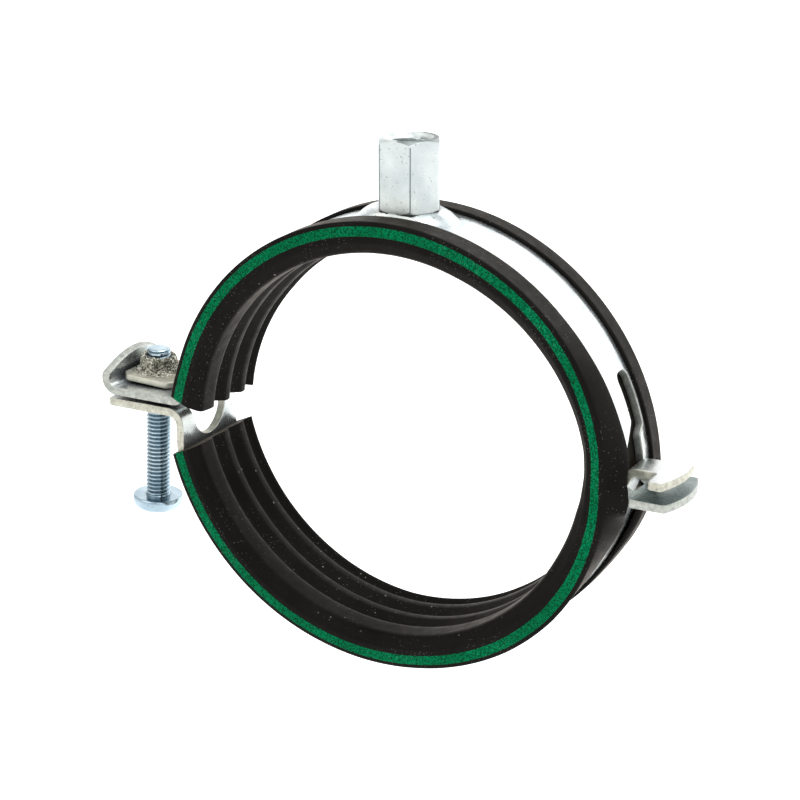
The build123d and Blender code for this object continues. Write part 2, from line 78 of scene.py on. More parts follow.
# %% Lengths
SEAT_RADIUS = 49.5
LINING_THICKNESS = 4.6
STRIP_THICKNESS = 2.0
STRIP_INNER = SEAT_RADIUS + LINING_THICKNESS
STRIP_MIDDLE = STRIP_INNER + STRIP_THICKNESS / 2
STRIP_OUTER = STRIP_INNER + STRIP_THICKNESS
LINING_OUTER = STRIP_OUTER + 0.9
STRIP_SIDE = 11.8                        # half the strip's width
FRONT_Y, REAR_Y = -12.65, 12.65          # faces of the lining
FRONT_LIP_Y, REAR_LIP_Y = -6.25, 7.55    # where its lips over the strip end
UPPER_CENTRE = np.array([0.0, 0.0])
LOWER_CENTRE = np.array([-1.97, 8.81])
LOWER_EAR_Z, UPPER_EAR_Z = 3.7, 6.55
SCREW_X, PLATE_REST_Z = -68.5, 8.06
SCREW_LEAN = math.radians(2.6)
UPPER_EAR_END_X, LOWER_EAR_END_X = -76.8, -75.2
LOWER_WALL_X = -55.2
HINGE_SIDE = 9.8                         # half the strip's width beside the hook
HINGE_LOW_Z = 10.5
REAR_TAPER_Z, FRONT_TAPER_Z = 16.0, 33.0
HOOK_EAR_Z, HOOK_EAR_END_X = 1.6, 68.9
HEAD_Z, HEAD_END_X, HEAD_START_X = 6.4, 67.9, 62.4
UPPER_LEAVE_DEG = 12.0                   # where the bands leave their arcs
LOWER_LEFT_DEG, LOWER_RIGHT_DEG = 200.0, 340.0
print(f"strip from r = {STRIP_INNER:.1f} to {STRIP_OUTER:.1f} mm, pipe seat r = {SEAT_RADIUS} mm")

# %% [markdown]
# ## Tools for lines
# On the real clamp every bend of the strip is a press tool's radius. A Bevel modifier could round
# a folded mesh, but its bends would depend on the mesh. Here a folded strip is described by the
# middle line of its thickness: straight legs meet at corners, and a corner becomes an arc. For a
# turn by the angle a and a radius r the arc starts r tan(a / 2) before the corner.

# %% Line tools
def unit(vector):
    """The vector divided by its length."""
    vector = np.asarray(vector, float)
    return vector / np.linalg.norm(vector)


def corner_arc(before, corner, after, radius, degrees=5.0):
    """Points of the arc of that radius that rounds a corner.
    It starts r tan(a / 2) before the corner, where a is the turn from one leg to the next."""
    into, out = unit(corner - before), unit(after - corner)
    turn = math.atan2(into[0] * out[1] - into[1] * out[0], float(into @ out))
    start = corner - into * radius * math.tan(abs(turn) / 2)
    side = math.copysign(1.0, turn)
    centre = start + side * radius * np.array([-into[1], into[0]])
    angles = np.linspace(0.0, turn, max(3, int(abs(math.degrees(turn)) / degrees) + 2))
    arm = start - centre
    x = centre[0] + arm[0] * np.cos(angles) - arm[1] * np.sin(angles)
    y = centre[1] + arm[0] * np.sin(angles) + arm[1] * np.cos(angles)
    return np.stack([x, y], 1)


def rounded(points, radii, closed=False, degrees=5.0):
    """The polyline with each corner rounded by its own radius; radius 0 leaves a point as it is."""
    points = np.asarray(points, float)
    count = len(points)
    parts = []
    for index, radius in enumerate(radii):
        end = not closed and index in (0, count - 1)
        if radius == 0 or end:
            parts.append(points[index][None])
        else:
            before, after = points[index - 1], points[(index + 1) % count]
            parts.append(corner_arc(before, points[index], after, radius, degrees))
    return np.concatenate(parts)


def run_length(points):
    """Distance along a polyline to each of its points."""
    steps = np.linalg.norm(np.diff(points, axis=0), axis=1)
    return np.concatenate([[0.0], np.cumsum(steps)])


def resampled(points, step, closed=False):
    """The polyline again, with points about one step apart along its length."""
    if closed:
        points = np.concatenate([points, points[:1]])
    run = run_length(points)
    keep = np.concatenate([[True], np.diff(run) > 1e-9])
    run, points = run[keep], points[keep]
    count = max(4, int(round(run[-1] / step)) + 1)
    at = np.linspace(0.0, run[-1], count)
    out = np.stack([np.interp(at, run, points[:, 0]), np.interp(at, run, points[:, 1])], 1)
    return out[:-1] if closed else out


def on_circle(centre, radius, degrees):
    """Points of a circle at these angles."""
    angle = np.radians(degrees)
    return np.stack([centre[0] + radius * np.cos(angle), centre[1] + radius * np.sin(angle)], -1)


def ray_to(point, direction, axis, value):
    """Where the line from point along direction reaches a value of x (axis 0) or z (axis 1)."""
    return point + direction * (value - point[axis]) / direction[axis]


def smooth(value, low, high):
    """0 below low, 1 above high, and t t (3 - 2 t) between them."""
    t = np.clip((value - low) / (high - low), 0.0, 1.0)
    return t * t * (3.0 - 2.0 * t)


# %% [markdown]
# ## Middle lines of the two half bands
# A bent strip keeps the length of its middle line, so the holes punched in the flat blank land
# where they should. Each line is kept as a table of its length s, its points and its outward
# normals, and a point (s, y, h) of the flat blank maps to middle line(s) + h normal(s), at y
# along the pipe.

# %% Middle lines
def line_table(points, outward):
    """Table of a middle line: s, x, z and the unit normal on its outer side.
    The normal is the tangent turned by a quarter turn, left for +1 and right for -1."""
    points = resampled(points, 0.2)
    run = run_length(points)
    tangent = np.gradient(points, run, axis=0)
    tangent /= np.linalg.norm(tangent, axis=1)[:, None]
    normal = outward * np.stack([-tangent[:, 1], tangent[:, 0]], 1)
    return {"s": run, "point": points, "normal": normal}


def fold(table, s, y, h):
    """Blank point (s, y, h) folded into space: x and z from the line plus h along its normal."""
    at = [np.interp(s, table["s"], table[key][:, i]) for key in ("point", "normal") for i in (0, 1)]
    return np.stack([at[0] + h * at[2], y, at[1] + h * at[3]], -1)


def s_where(table, part, axis, value):
    """Length s at which the stretch 'part' (a mask of the table) reaches a value of x or z."""
    seen, run = table["point"][part, axis], table["s"][part]
    order = np.argsort(seen)
    return np.interp(value, seen[order], run[order])


def tangent_at(degrees):
    """Direction of a circle's tangent at an angle, towards smaller angles: (sin a, -cos a)."""
    angle = math.radians(degrees)
    return np.array([math.sin(angle), -math.cos(angle)])


def upper_line():
    """Middle line of the upper band: turned up end, ear, arc, straight wall and hook ear."""
    bend = 3.0
    leave_deg = 180.0 - math.degrees(math.asin((UPPER_EAR_Z + bend) / STRIP_MIDDLE))
    leave = on_circle(UPPER_CENTRE, STRIP_MIDDLE, leave_deg)
    root = ray_to(leave, tangent_at(leave_deg), 1, UPPER_EAR_Z)
    corner, tip = (UPPER_EAR_END_X, UPPER_EAR_Z), (-74.7, 14.5)
    left = rounded([leave, root, corner, tip], [0, bend, 2.8, 0])[::-1]
    arc = on_circle(UPPER_CENTRE, STRIP_MIDDLE, np.arange(leave_deg, UPPER_LEAVE_DEG, -0.4))
    start = on_circle(UPPER_CENTRE, STRIP_MIDDLE, UPPER_LEAVE_DEG)
    wall_x = STRIP_MIDDLE - 0.4
    kink = ray_to(start, tangent_at(UPPER_LEAVE_DEG), 0, wall_x)
    ear = [(wall_x, HOOK_EAR_Z), (HOOK_EAR_END_X, HOOK_EAR_Z)]
    right = rounded([start, kink, *ear], [0, 18.0, bend, 0])
    return line_table(np.concatenate([left, arc, right]), 1)


def lower_line():
    """Middle line of the lower band: ear, straight wall, arc, neck and T head."""
    bend = 3.0
    leave = on_circle(LOWER_CENTRE, STRIP_MIDDLE, LOWER_LEFT_DEG)
    kink = ray_to(leave, tangent_at(LOWER_LEFT_DEG), 0, LOWER_WALL_X)
    ear = [(LOWER_WALL_X, LOWER_EAR_Z), (LOWER_EAR_END_X, LOWER_EAR_Z)]
    left = rounded([leave, kink, *ear], [0, 15.0, bend, 0])[::-1]
    arc = on_circle(LOWER_CENTRE, STRIP_MIDDLE, np.arange(LOWER_LEFT_DEG, LOWER_RIGHT_DEG, 0.4))
    start = on_circle(LOWER_CENTRE, STRIP_MIDDLE, LOWER_RIGHT_DEG)
    neck_top = ray_to(start, -tangent_at(LOWER_RIGHT_DEG), 1, HEAD_Z)
    right = rounded([start, neck_top, (HEAD_END_X, HEAD_Z)], [0, bend, 0])
    return line_table(np.concatenate([left, arc, right]), -1)


UPPER_LINE, LOWER_LINE = upper_line(), lower_line()
print(f"developed lengths: upper {UPPER_LINE['s'][-1]:.1f} mm, lower {LOWER_LINE['s'][-1]:.1f} mm")

# %% [markdown]
# ## Flat blanks
# The real bands are punched from flat strip before they are folded. The script works in the same
# order: Boolean cuts through a folded sheet would leave ragged edges, while a flat outline is
# easy to round. The outline and the holes are closed loops in (s, y).

# %% Blank tools
EDGE_ROUND = 0.28


def loop_normals(loop):
    """In-plane normals of a closed loop, a quarter turn right of its tangent."""
    ahead = np.roll(loop, -1, 0) - np.roll(loop, 1, 0)
    ahead /= np.linalg.norm(ahead, axis=1)[:, None]
    return np.stack([ahead[:, 1], -ahead[:, 0]], 1)


def turned(loop, counter_clockwise):
    """The loop, reversed if needed, so that it runs the way asked."""
    after = np.roll(loop, -1, 0)
    area = np.sum(loop[:, 0] * after[:, 1] - loop[:, 1] * after[:, 0]) / 2
    return loop if (area > 0) == counter_clockwise else loop[::-1]


def inside(points, loop):
    """True where a point lies inside the loop: a ray to the right crosses it an odd number of times."""
    px, py = points[:, 0, None], points[:, 1, None]
    ax, ay = loop[None, :, 0], loop[None, :, 1]
    after = np.roll(loop, -1, 0)
    bx, by = after[None, :, 0], after[None, :, 1]
    rise = np.where(by == ay, 1e-12, by - ay)
    crosses = ((ay > py) != (by > py)) & (px < (bx - ax) * (py - ay) / rise + ax)
    return crosses.sum(1) % 2 == 1


def nearest(points, loop):
    """Distance from each point to the nearest point of the loop, in blocks to save memory."""
    blocks = np.array_split(points, max(1, len(points) // 2000))
    return np.concatenate([np.sqrt(((b[:, None] - loop[None]) ** 2).sum(2)).min(1) for b in blocks])


# %% [markdown]
# ## Folded sheet
# A band is filled, edged and folded in one go. A constrained Delaunay triangulation fills the
# blank between its loops, rings of points round its cut edges a little, as a punch leaves them,
# and then the whole blank is folded with the table above. The cut edges are marked, since their
# metal is bare and torn.

# %% Folded sheet
def sheet(table, outline, holes, thickness, step_s=0.8, step_y=1.1):
    """Vertices, faces and a mask of the cut edges of a folded sheet.
    Rings round an edge follow a quarter circle of its radius r: they stand r (1 - sin a) inside
    the outline, at a height of t / 2 - r (1 - cos a), where t is the sheet's thickness."""
    loops = [turned(outline, True)] + [turned(hole, False) for hole in holes]
    normals = [loop_normals(loop) for loop in loops]
    angle = np.radians([0.0, 30.0, 60.0, 90.0])
    offset = np.concatenate([[EDGE_ROUND + 0.12], EDGE_ROUND * (1 - np.sin(angle))])
    height = np.concatenate([[thickness / 2], thickness / 2 - EDGE_ROUND * (1 - np.cos(angle))])
    offset = np.concatenate([offset, offset[::-1]])
    height = np.concatenate([height, -height[::-1]])
    inner = [loop - normal * offset[0] for loop, normal in zip(loops, normals)]
    low, high = inner[0].min(0), inner[0].max(0)
    along, across = np.arange(low[0], high[0], step_s), np.arange(low[1], high[1], step_y)
    points = np.stack([g.ravel() for g in np.meshgrid(along, across, indexing="ij")], 1)
    keep = inside(points, inner[0])
    for hole in inner[1:]:
        keep &= ~inside(points, hole)
    points = points[keep]
    for loop in inner:
        points = points[nearest(points, loop) > 0.35]
    flat = np.concatenate(inner + [points])
    first = np.cumsum([0] + [len(loop) for loop in inner])
    rounds = [np.arange(a, b) for a, b in zip(first, first[1:])]
    edges = np.concatenate([np.stack([ids, np.roll(ids, -1)], 1) for ids in rounds]).tolist()
    result = delaunay_2d_cdt([Vector(p) for p in flat.tolist()], edges, [], 0, 1e-7)
    triangles = np.array(result[2])
    middle = flat[triangles].mean(1)
    solid = inside(middle, inner[0])
    for hole in inner[1:]:
        solid &= ~inside(middle, hole)
    triangles = triangles[solid]
    top = np.column_stack([flat, np.full(len(flat), thickness / 2)])
    bottom = np.column_stack([flat, np.full(len(flat), -thickness / 2)])
    vertices, cut = [top, bottom], [np.zeros(2 * len(flat))]
    faces = [triangles.tolist(), (triangles[:, ::-1] + len(flat)).tolist()]
    total = 2 * len(flat)
    for loop, normal, begin in zip(loops, normals, first):
        count = len(loop)
        rows = [begin + np.arange(count)]
        for inset, level in zip(offset[1:-1], height[1:-1]):
            ring = loop - normal * inset
            vertices.append(np.column_stack([ring, np.full(count, level)]))
            cut.append(np.full(count, 1.0 if abs(level) < thickness / 2 - 0.02 else 0.0))
            rows.append(total + np.arange(count))
            total += count
        rows.append(len(flat) + begin + np.arange(count))
        rows = np.stack(rows)
        quads = np.stack([rows[:-1], rows[1:], np.roll(rows[1:], -1, 1), np.roll(rows[:-1], -1, 1)], -1)
        faces.append(quads.reshape(-1, 4).tolist())
    vertices = np.concatenate(vertices)
    space = fold(table, vertices[:, 0], vertices[:, 1], vertices[:, 2])
    return space, [face for part in faces for face in part], np.concatenate(cut)


# %% [markdown]
# ## Mesh makers
# All pieces become meshes in the same way: points in millimetres, faces turned outwards, smooth
# shading, and numbers for the materials where a piece has marks. Most of them are grids of rows
# that are closed around, so one function makes their quads.

# %% Mesh makers
def add_mesh(name, vertices_mm, faces, marks=None, auto=None):
    """Makes a smooth shaded mesh object from millimetres, with its faces turned outwards.
    Each mark is a number for each vertex, kept as an attribute for the materials to read."""
    mesh = bpy.data.meshes.new(name)
    mesh.from_pydata((np.asarray(vertices_mm) * MM).tolist(), [], faces)
    for key, values in (marks or {}).items():
        numbers = np.asarray(values, np.float32).ravel()
        mesh.attributes.new(key, "FLOAT", "POINT").data.foreach_set("value", numbers)
    work = bmesh.new()
    work.from_mesh(mesh)
    bmesh.ops.recalc_face_normals(work, faces=work.faces)
    work.to_mesh(mesh)
    work.free()
    mesh.polygons.foreach_set("use_smooth", np.ones(len(mesh.polygons), bool))
    if auto:
        mesh.set_sharp_from_angle(angle=math.radians(auto))
    obj = bpy.data.objects.new(name, mesh)
    bpy.context.scene.collection.objects.link(obj)
    print(f"{name}: {len(mesh.vertices)} vertices, {len(mesh.polygons)} faces")
    return obj


def grid_faces(rows, around, caps):
    """Quads of a grid of rows that is closed around. caps names the ends that get a face,
    "first" and "last"; with "ring" the last row is joined to the first one instead."""
    index = np.arange(rows * around).reshape(rows, around)
    low = index if "ring" in caps else index[:-1]
    high = np.roll(index, -1, 0) if "ring" in caps else index[1:]
    faces = np.stack([low, np.roll(low, -1, 1), np.roll(high, -1, 1), high], -1).reshape(-1, 4).tolist()
    if "first" in caps:
        faces.append(index[0][::-1].tolist())
    if "last" in caps:
        faces.append(index[-1].tolist())
    return faces


def add_grid(name, points, auto=None, caps=("first", "last"), marks=None):
    """Mesh object of a grid of points (rows, around, 3)."""
    faces = grid_faces(*points.shape[:2], caps)
    return add_mesh(name, points.reshape(-1, 3), faces, marks, auto)


# %% [markdown]
# ## Upper half band
# This band carries the nut. The end by the screw is turned up, with a bowed edge, so that the
# threaded plate can't slip off, and the screw passes through a round hole. The keyhole beside the
# hook has a wide window, which lets the T head in, with a narrow slot above it. All of it is
# drawn on the blank.

# %% Upper half band
def bow(end_s, sag, side, inwards, count=41):
    """Bowed end of a tongue: a parabola s = end + inwards sag (y / side)^2, from -side to +side."""
    y = np.linspace(-side, side, count)
    return np.stack([end_s + inwards * sag * (y / side) ** 2, y], 1)


def upper_blank(table):
    """Outline and holes of the upper blank, in (s, y)."""
    point = table["point"]
    right = point[:, 0] > 30
    wall = right & (point[:, 1] > 4.7) & (point[:, 1] < 40)
    ear = right & (point[:, 1] < 1.7)
    s_z = lambda z: float(s_where(table, wall, 1, z))
    s_x = lambda x: float(s_where(table, ear, 0, x))
    side, low = STRIP_SIDE, HINGE_SIDE
    left_end = bow(0.0, 4.0, side, 1.0)
    right_end = bow(s_x(HOOK_EAR_END_X), 2.2, low, -1.0)
    front = [(s_z(FRONT_TAPER_Z), -side), (s_z(HINGE_LOW_Z), -low)]
    rear = [(s_z(HINGE_LOW_Z), low), (s_z(REAR_TAPER_Z), side)]
    outline = np.concatenate([left_end[::-1], front, right_end, rear])
    radii = [0] * len(outline)
    radii[0] = radii[len(left_end) - 1] = 0.9
    first = len(left_end) + 2
    radii[first] = radii[first + len(right_end) - 1] = 0.8
    for index in (len(left_end), len(left_end) + 1, -2, -1):
        radii[index] = 4.0
    outline = rounded(outline, radii, closed=True)
    slot_top, root, window = s_z(25.6), s_x(57.6), 4.4
    key = [(slot_top, 1.7), (s_z(15.6), 1.7), (s_z(9.6), -window), (root, -window),
           (root, window), (s_z(12.0), window), (s_z(13.8), 6.9), (slot_top, 6.9)]
    key = rounded(key, [1.8, 1.2, 1.0, 0.6, 0.6, 1.0, 1.0, 1.8], closed=True)
    left = (point[:, 0] < -60) & (point[:, 1] < UPPER_EAR_Z + 0.05)
    screw_s = float(s_where(table, left, 0, SCREW_X))
    hole = on_circle((screw_s, 0.0), 3.6, np.arange(0.0, 360.0, 6.0))
    return resampled(outline, 0.45, True), [resampled(key, 0.4, True), hole]


outline, holes = upper_blank(UPPER_LINE)
vertices, faces, cut = sheet(UPPER_LINE, outline, holes, STRIP_THICKNESS)
upper_band = add_mesh("upper_band_sheet", vertices, faces, {"cut": cut})

# %% [markdown]
# ## Lower half band
# This band can be swung shut with the screw already in place: the port through wall, bend and ear
# lets the screw's head pass, and the slot then holds the shank. At the other end the strip
# narrows to the neck that carries the T head.

# %% Lower half band
def lower_blank(table):
    """Outline and hole of the lower blank, in (s, y)."""
    point = table["point"]
    left_ear = (point[:, 0] < -57) & (point[:, 1] > LOWER_EAR_Z - 0.3)
    left_wall = (point[:, 0] < -50) & (point[:, 1] < 0.7)
    right_wall = (point[:, 0] > 45) & (point[:, 1] < 3.0) & (point[:, 1] > -20)
    head = (point[:, 0] > 59) & (point[:, 1] > HEAD_Z - 0.05)
    ear_s = lambda x: float(s_where(table, left_ear, 0, x))
    wall_s = lambda z: float(s_where(table, left_wall, 1, z))
    shoulder = float(s_where(table, right_wall, 1, -0.7))
    head_s = lambda x: float(s_where(table, head, 0, x))
    side, neck, head_start = STRIP_SIDE, 4.0, head_s(HEAD_START_X)
    tip = bow(head_s(HEAD_END_X), 2.2, HINGE_SIDE, -1.0)
    outline = np.concatenate([
        [(0.0, side), (0.0, -side), (shoulder, -side), (shoulder, -neck), (head_start, -neck)],
        [(head_start, -HINGE_SIDE)], tip, [(head_start, HINGE_SIDE)],
        [(head_start, neck), (shoulder, neck), (shoulder, side)]])
    radii = [0.7, 0.7, 1.0, 1.5, 1.0, 0.8] + [0] * len(tip) + [0.8, 1.0, 1.5, 1.0]
    radii[6] = radii[5 + len(tip)] = 0.9
    outline = rounded(outline, radii, closed=True)
    wide, narrow = 6.7, 3.4
    port_s = wall_s(-4.0) - wide
    wall_end = on_circle((port_s, 0.0), wide, np.arange(-90.0, 90.1, 5.0))
    meet = math.degrees(math.asin(narrow / wide))
    ear_end = on_circle((ear_s(-57.7), 0.0), wide, np.arange(90.0, 180.0 - meet, 5.0))
    slot_end = on_circle((ear_s(-68.95), 0.0), narrow, np.arange(90.0, 270.1, 7.5))
    port = np.concatenate([wall_end, ear_end, slot_end, ear_end[::-1] * [1, -1]])
    return resampled(outline, 0.45, True), [resampled(port, 0.4, True)]


outline, holes = lower_blank(LOWER_LINE)
vertices, faces, cut = sheet(LOWER_LINE, outline, holes, STRIP_THICKNESS)
lower_band = add_mesh("lower_band_sheet", vertices, faces, {"cut": cut})

# %% [markdown]
# ## Rubber linings
# The lining is extruded in one length and pressed over the strip, so it has the same section
# everywhere: a closed loop in (y, r) with three ribs inside and a lip over each edge of the
# strip. Sculpting it would lose that. The loop is rounded like a folded line and spaced evenly,
# and a later cell sweeps it round its half.

# %% Linings
MOUTH_R, BEVEL_R, BEVEL_DEEP = 49.9, 52.5, 1.6
STRIPE_R = 54.9
RIB_Y = (-7.2, -0.3, 6.6)


def lining_section():
    """Closed loop (y, r) of the lining: three ribs inside, and a lip over each edge of the strip."""
    fit = 0.06
    inner = [(FRONT_Y, BEVEL_R), (FRONT_Y + BEVEL_DEEP, MOUTH_R)]
    inner_round = [1.0, 2.2]
    for crest in RIB_Y:
        for along, rise in ((-0.3, 0.05), (0.8, 0.0), (1.7, 0.1), (3.2, 1.6)):
            inner.append((crest + along, SEAT_RADIUS + rise))
        inner_round += [1.2, 0.6, 0.9, 1.0]
    inner += [(12.0, SEAT_RADIUS + 0.2), (REAR_Y, SEAT_RADIUS + 0.4)]
    inner_round += [0.3, 0.15]
    side = STRIP_SIDE + 0.1
    over, under = STRIP_OUTER + fit, STRIP_INNER - fit
    outer = [(REAR_Y, LINING_OUTER), (REAR_LIP_Y, LINING_OUTER), (REAR_LIP_Y + 0.12, over), (side, over),
             (side, under), (-side, under), (-side, over), (FRONT_LIP_Y - 0.12, over),
             (FRONT_LIP_Y, LINING_OUTER), (FRONT_Y, LINING_OUTER)]
    outer_round = [0.7, 0.35, 0.05, 0.1, 0.1, 0.1, 0.1, 0.05, 0.35, 0.45]
    loop = rounded(inner + outer, inner_round + outer_round, closed=True, degrees=15.0)
    return resampled(loop, 0.3, True)


# %% [markdown]
# ## Pull and lift of the rubber
# Pressed over the strip, the rubber gives way: beside the hook its front rim is drawn in and its
# lips stand up, and round the mouth it bulges a little. A Lattice could bend the swept mesh, but
# a few pairs of place and amount are easier to tune, and they can be read off between the pairs.

# %% Pull and lift of the rubber
# pairs of an angle in degrees and a pull in millimetres
PULL_MOUTH = {
    "upper": [(2, 3.0), (9, 1.6), (14.4, 0.7), (22, 0.3), (35, 0.1), (50, 0.25), (70, 0.75), (115, 0.75),
              (135, 0.3), (150, 0)],
    "lower": [(-60, 0), (-40, 0.3), (-28, 0.5), (-16, 0.3), (-7, 0.2)]}
PULL_STRIPE = {
    "upper": [(2, 3.3), (5, 3.2), (12.4, 2.3), (16, 1.9), (22.7, 1.35), (29.2, 0.9), (35.5, 0.45),
              (44, 0.1), (52, 0), (164, 0), (173, -0.6)],
    "lower": [(-105, 0), (-80, -0.2), (-66, -0.5), (-55, -0.75), (-40, -0.85), (-30, -0.65),
              (-21, -0.15), (-13, 0.4), (-7, 0.9)]}
PULL_REAR = {
    "upper": [(100, 0), (118, 0.9), (140, 0.9), (160, 0.3), (172, 0)],
    "lower": [(-95, 0), (-80, 0.4), (-60, 0.8), (-45, 0.9), (-30, 0.5), (-20, 0)]}
# pairs of a height z and a lift of the lip, both in millimetres
LIFT_FRONT = {
    "upper": [(0, 1.7), (4.5, 1.7), (7, 0.9), (13.5, 0.9), (19, 0.65), (27, 0.5), (33, 0.2), (40, 0)],
    "lower": [(-28, 0), (-24, 0.05), (-21, 0.2), (-17, 0.6), (-13.6, 1.0), (-10.6, 1.5), (-7.7, 2.1),
              (-5, 2.6), (-2, 3.2), (0, 4.0), (2, 4.0)]}
LIFT_REAR = {
    "upper": [(0, 0), (10, 0)],
    "lower": [(-25, 0), (-21, 0.25), (-18, 0.5), (-15, 0.9), (-12, 1.2), (-9, 1.5), (0, 2.0)]}


def read_off(value, pairs):
    """Value read off a broken line through (place, value) pairs, level beyond its ends."""
    return np.interp(value, [place for place, _ in pairs], [number for _, number in pairs])


def front_pull(half, degrees, radius):
    """How far the front face is drawn in at an angle, in millimetres: one amount at its mouth,
    another at the stripe and a little more at its outer corner."""
    at_mouth = read_off(degrees, PULL_MOUTH[half])
    at_stripe = read_off(degrees, PULL_STRIPE[half])
    share = (radius - MOUTH_R) / (STRIPE_R - MOUTH_R)
    between = at_mouth + (at_stripe - at_mouth) * share
    return np.where(share < 1, between, at_stripe * (1 + 0.12 * (share - 1)))


def strip_edge(half, z):
    """Half width of the strip on the front side at a height z."""
    narrow = np.interp(z, [HINGE_LOW_Z, FRONT_TAPER_Z], [HINGE_SIDE, STRIP_SIDE])
    return narrow if half == "upper" else np.full_like(z, STRIP_SIDE)


# %% [markdown]
# ## Sweep of a section
# The section is carried round its half as a whole: every loop point gets its own angles and its
# own radius. Which part of the section a point belongs to decides what moves it: the channel
# follows the strip's edge, the front face is pulled in, and the lips are lifted.

# %% Sweep of a section
def sweep(half, loop, first, last, steps=300):
    """Grid of points (steps, loop), swept from angle first to angle last, in radians for each loop
    point. x = cx + R cos a and z = cz + R sin a, with R the loop's radius, less the pull of the
    front face and plus the lift of the lips beside the hook."""
    centre = UPPER_CENTRE if half == "upper" else LOWER_CENTRE
    t = np.linspace(0.0, 1.0, steps)[:, None]
    angle = first + (last - first) * t
    y = np.broadcast_to(loop[:, 0], angle.shape).copy()
    radius = np.broadcast_to(loop[:, 1], angle.shape).copy()
    z, x = centre[1] + radius * np.sin(angle), centre[0] + radius * np.cos(angle)
    degrees = np.degrees(angle)
    degrees = np.where(degrees > 180, degrees - 360, degrees)
    hook = x > 0
    outer = loop[:, 1] > STRIP_OUTER + 0.02
    inner = loop[:, 1] < STRIP_INNER - 0.2
    front = loop[:, 0] < 0
    channel = ~outer & ~inner & front & (loop[:, 0] > FRONT_Y + 0.3)
    # the channel follows the strip's narrowed front edge
    edge = np.where(hook, strip_edge(half, z), STRIP_SIDE)
    scale = (edge + 0.1 + FRONT_LIP_Y) / (STRIP_SIDE + 0.1 + FRONT_LIP_Y)
    y = np.where(channel, FRONT_LIP_Y + (y - FRONT_LIP_Y) * scale, y)
    # pull of the front face, fading towards the rear
    along = np.clip((FRONT_LIP_Y - y) / (FRONT_LIP_Y - FRONT_Y), 0.0, 1.0)
    inwards = np.clip((-4.6 - y) / (-4.6 - FRONT_Y), 0.0, 1.0)
    in_channel = smooth(-y, edge - 0.3, -FRONT_Y - 0.2)
    weight = np.where(outer, along**1.5, np.where(inner, inwards**1.3, in_channel))
    weight = np.where(loop[:, 0] < FRONT_Y + 0.02, 1.0, weight)
    shift = -weight * front_pull(half, degrees, radius)
    backwards = np.clip((y - 1.0) / 10.0, 0.0, 1.0)
    shift = shift - np.where(inner, backwards * read_off(degrees, PULL_REAR[half]), 0.0)
    # beside the ears of the hook the front lip keeps clear of the strip, and the lips stand up
    ear = np.where(hook, smooth(z, -4.5, 0.2) * (1 - smooth(z, 4.5, 10.0)), 0.0)
    y = np.where(outer & front, y + ear * (1 - along) * (-HINGE_SIDE - 0.15 - FRONT_LIP_Y), y)
    front_lift = read_off(z, LIFT_FRONT[half]) * (1 - along) ** 0.8
    rear_lift = read_off(z, LIFT_REAR[half]) * np.clip((y - REAR_LIP_Y + 1.0) / 2.0, 0.0, 1.0)
    shift = shift + np.where(outer & front & hook, front_lift, 0.0)
    shift = shift + np.where(outer & ~front & hook, rear_lift, 0.0)
    # near its ends the upper half has no lips over the strip
    low = smooth(np.where(hook, 5.0, 10.0) - z, -0.3, 0.3) if half == "upper" else 0.0
    bare = np.abs(y) < np.where(hook, HINGE_SIDE + 0.1, STRIP_SIDE)
    drop = np.where(outer & bare & ~(front & hook), low * (radius - STRIP_OUTER), 0.0)
    radius = radius + shift - drop
    return np.stack([centre[0] + radius * np.cos(angle), y, centre[1] + radius * np.sin(angle)], -1)


# %% [markdown]
# ## Ends of the linings
# The rubber is cut off flat at the ears, on a slant, and both halves meet level beside the hook.
# Its ends lie on cut planes, so each point of the loop gets its own first and last angle. Where
# the halves meet, their front parts are eased to a common end, so that the rim seems to run on.

# %% Ends of the linings
SPLIT_Z = 2.0                 # level where the two linings touch beside the hook
MEET_REACH = 5.0              # they are eased towards each other within this height


def angle_on_line(centre, first, second, radius):
    """Angle at which a circle of that radius about centre meets the line through two points."""
    t = np.linspace(-0.5, 1.5, 400)[:, None]
    line = (1 - t) * np.asarray(first) + t * np.asarray(second) - centre
    far = np.hypot(line[:, 0], line[:, 1])
    order = np.argsort(far)
    turn = np.unwrap(np.arctan2(line[:, 1], line[:, 0]))
    return np.interp(radius, far[order], turn[order])


def end_angles(half, radius):
    """First and last angle of each loop point: level split beside the hook, slanted end at the ears."""
    centre = UPPER_CENTRE if half == "upper" else LOWER_CENTRE
    outer_z, inner_z = (8.4, 4.8) if half == "upper" else (-6.4, -3.0)
    left = angle_on_line(centre, (-57.0, outer_z), (-49.5, inner_z), radius)
    left = np.where(left < 0, left + 2 * math.pi, left)
    right = np.arcsin((SPLIT_Z - centre[1]) / radius)
    return (right, left) if half == "upper" else (right + 2 * math.pi, left)


def both_halves(loop):
    """Swept grids of the two halves, with their front parts eased so that their ends meet."""
    grids = {half: sweep(half, loop, *end_angles(half, loop[:, 1])) for half in ("upper", "lower")}
    meeting = (grids["upper"][0] + grids["lower"][0]) / 2
    forward = smooth(-meeting[:, 1], 4.0, 7.0)[:, None]
    for grid in grids.values():
        near = smooth(MEET_REACH - np.abs(grid[..., 2:] - SPLIT_Z), 0.0, MEET_REACH)
        near = near * (grid[..., :1] > 0)
        grid += (meeting - grid[0]) * forward * near
    return grids


# %% [markdown]
# ## Linings and stripes
# The stripe is a second compound that runs along in the lining's face, so it is swept by the same
# function, with a section of its own that stands a hair proud of the rubber.

# %% Linings and stripes
def swept_pieces(suffix, loop):
    """Mesh objects of the two halves of a swept loop."""
    return [add_grid(f"{half}_{suffix}", grid, 50) for half, grid in both_halves(loop).items()]


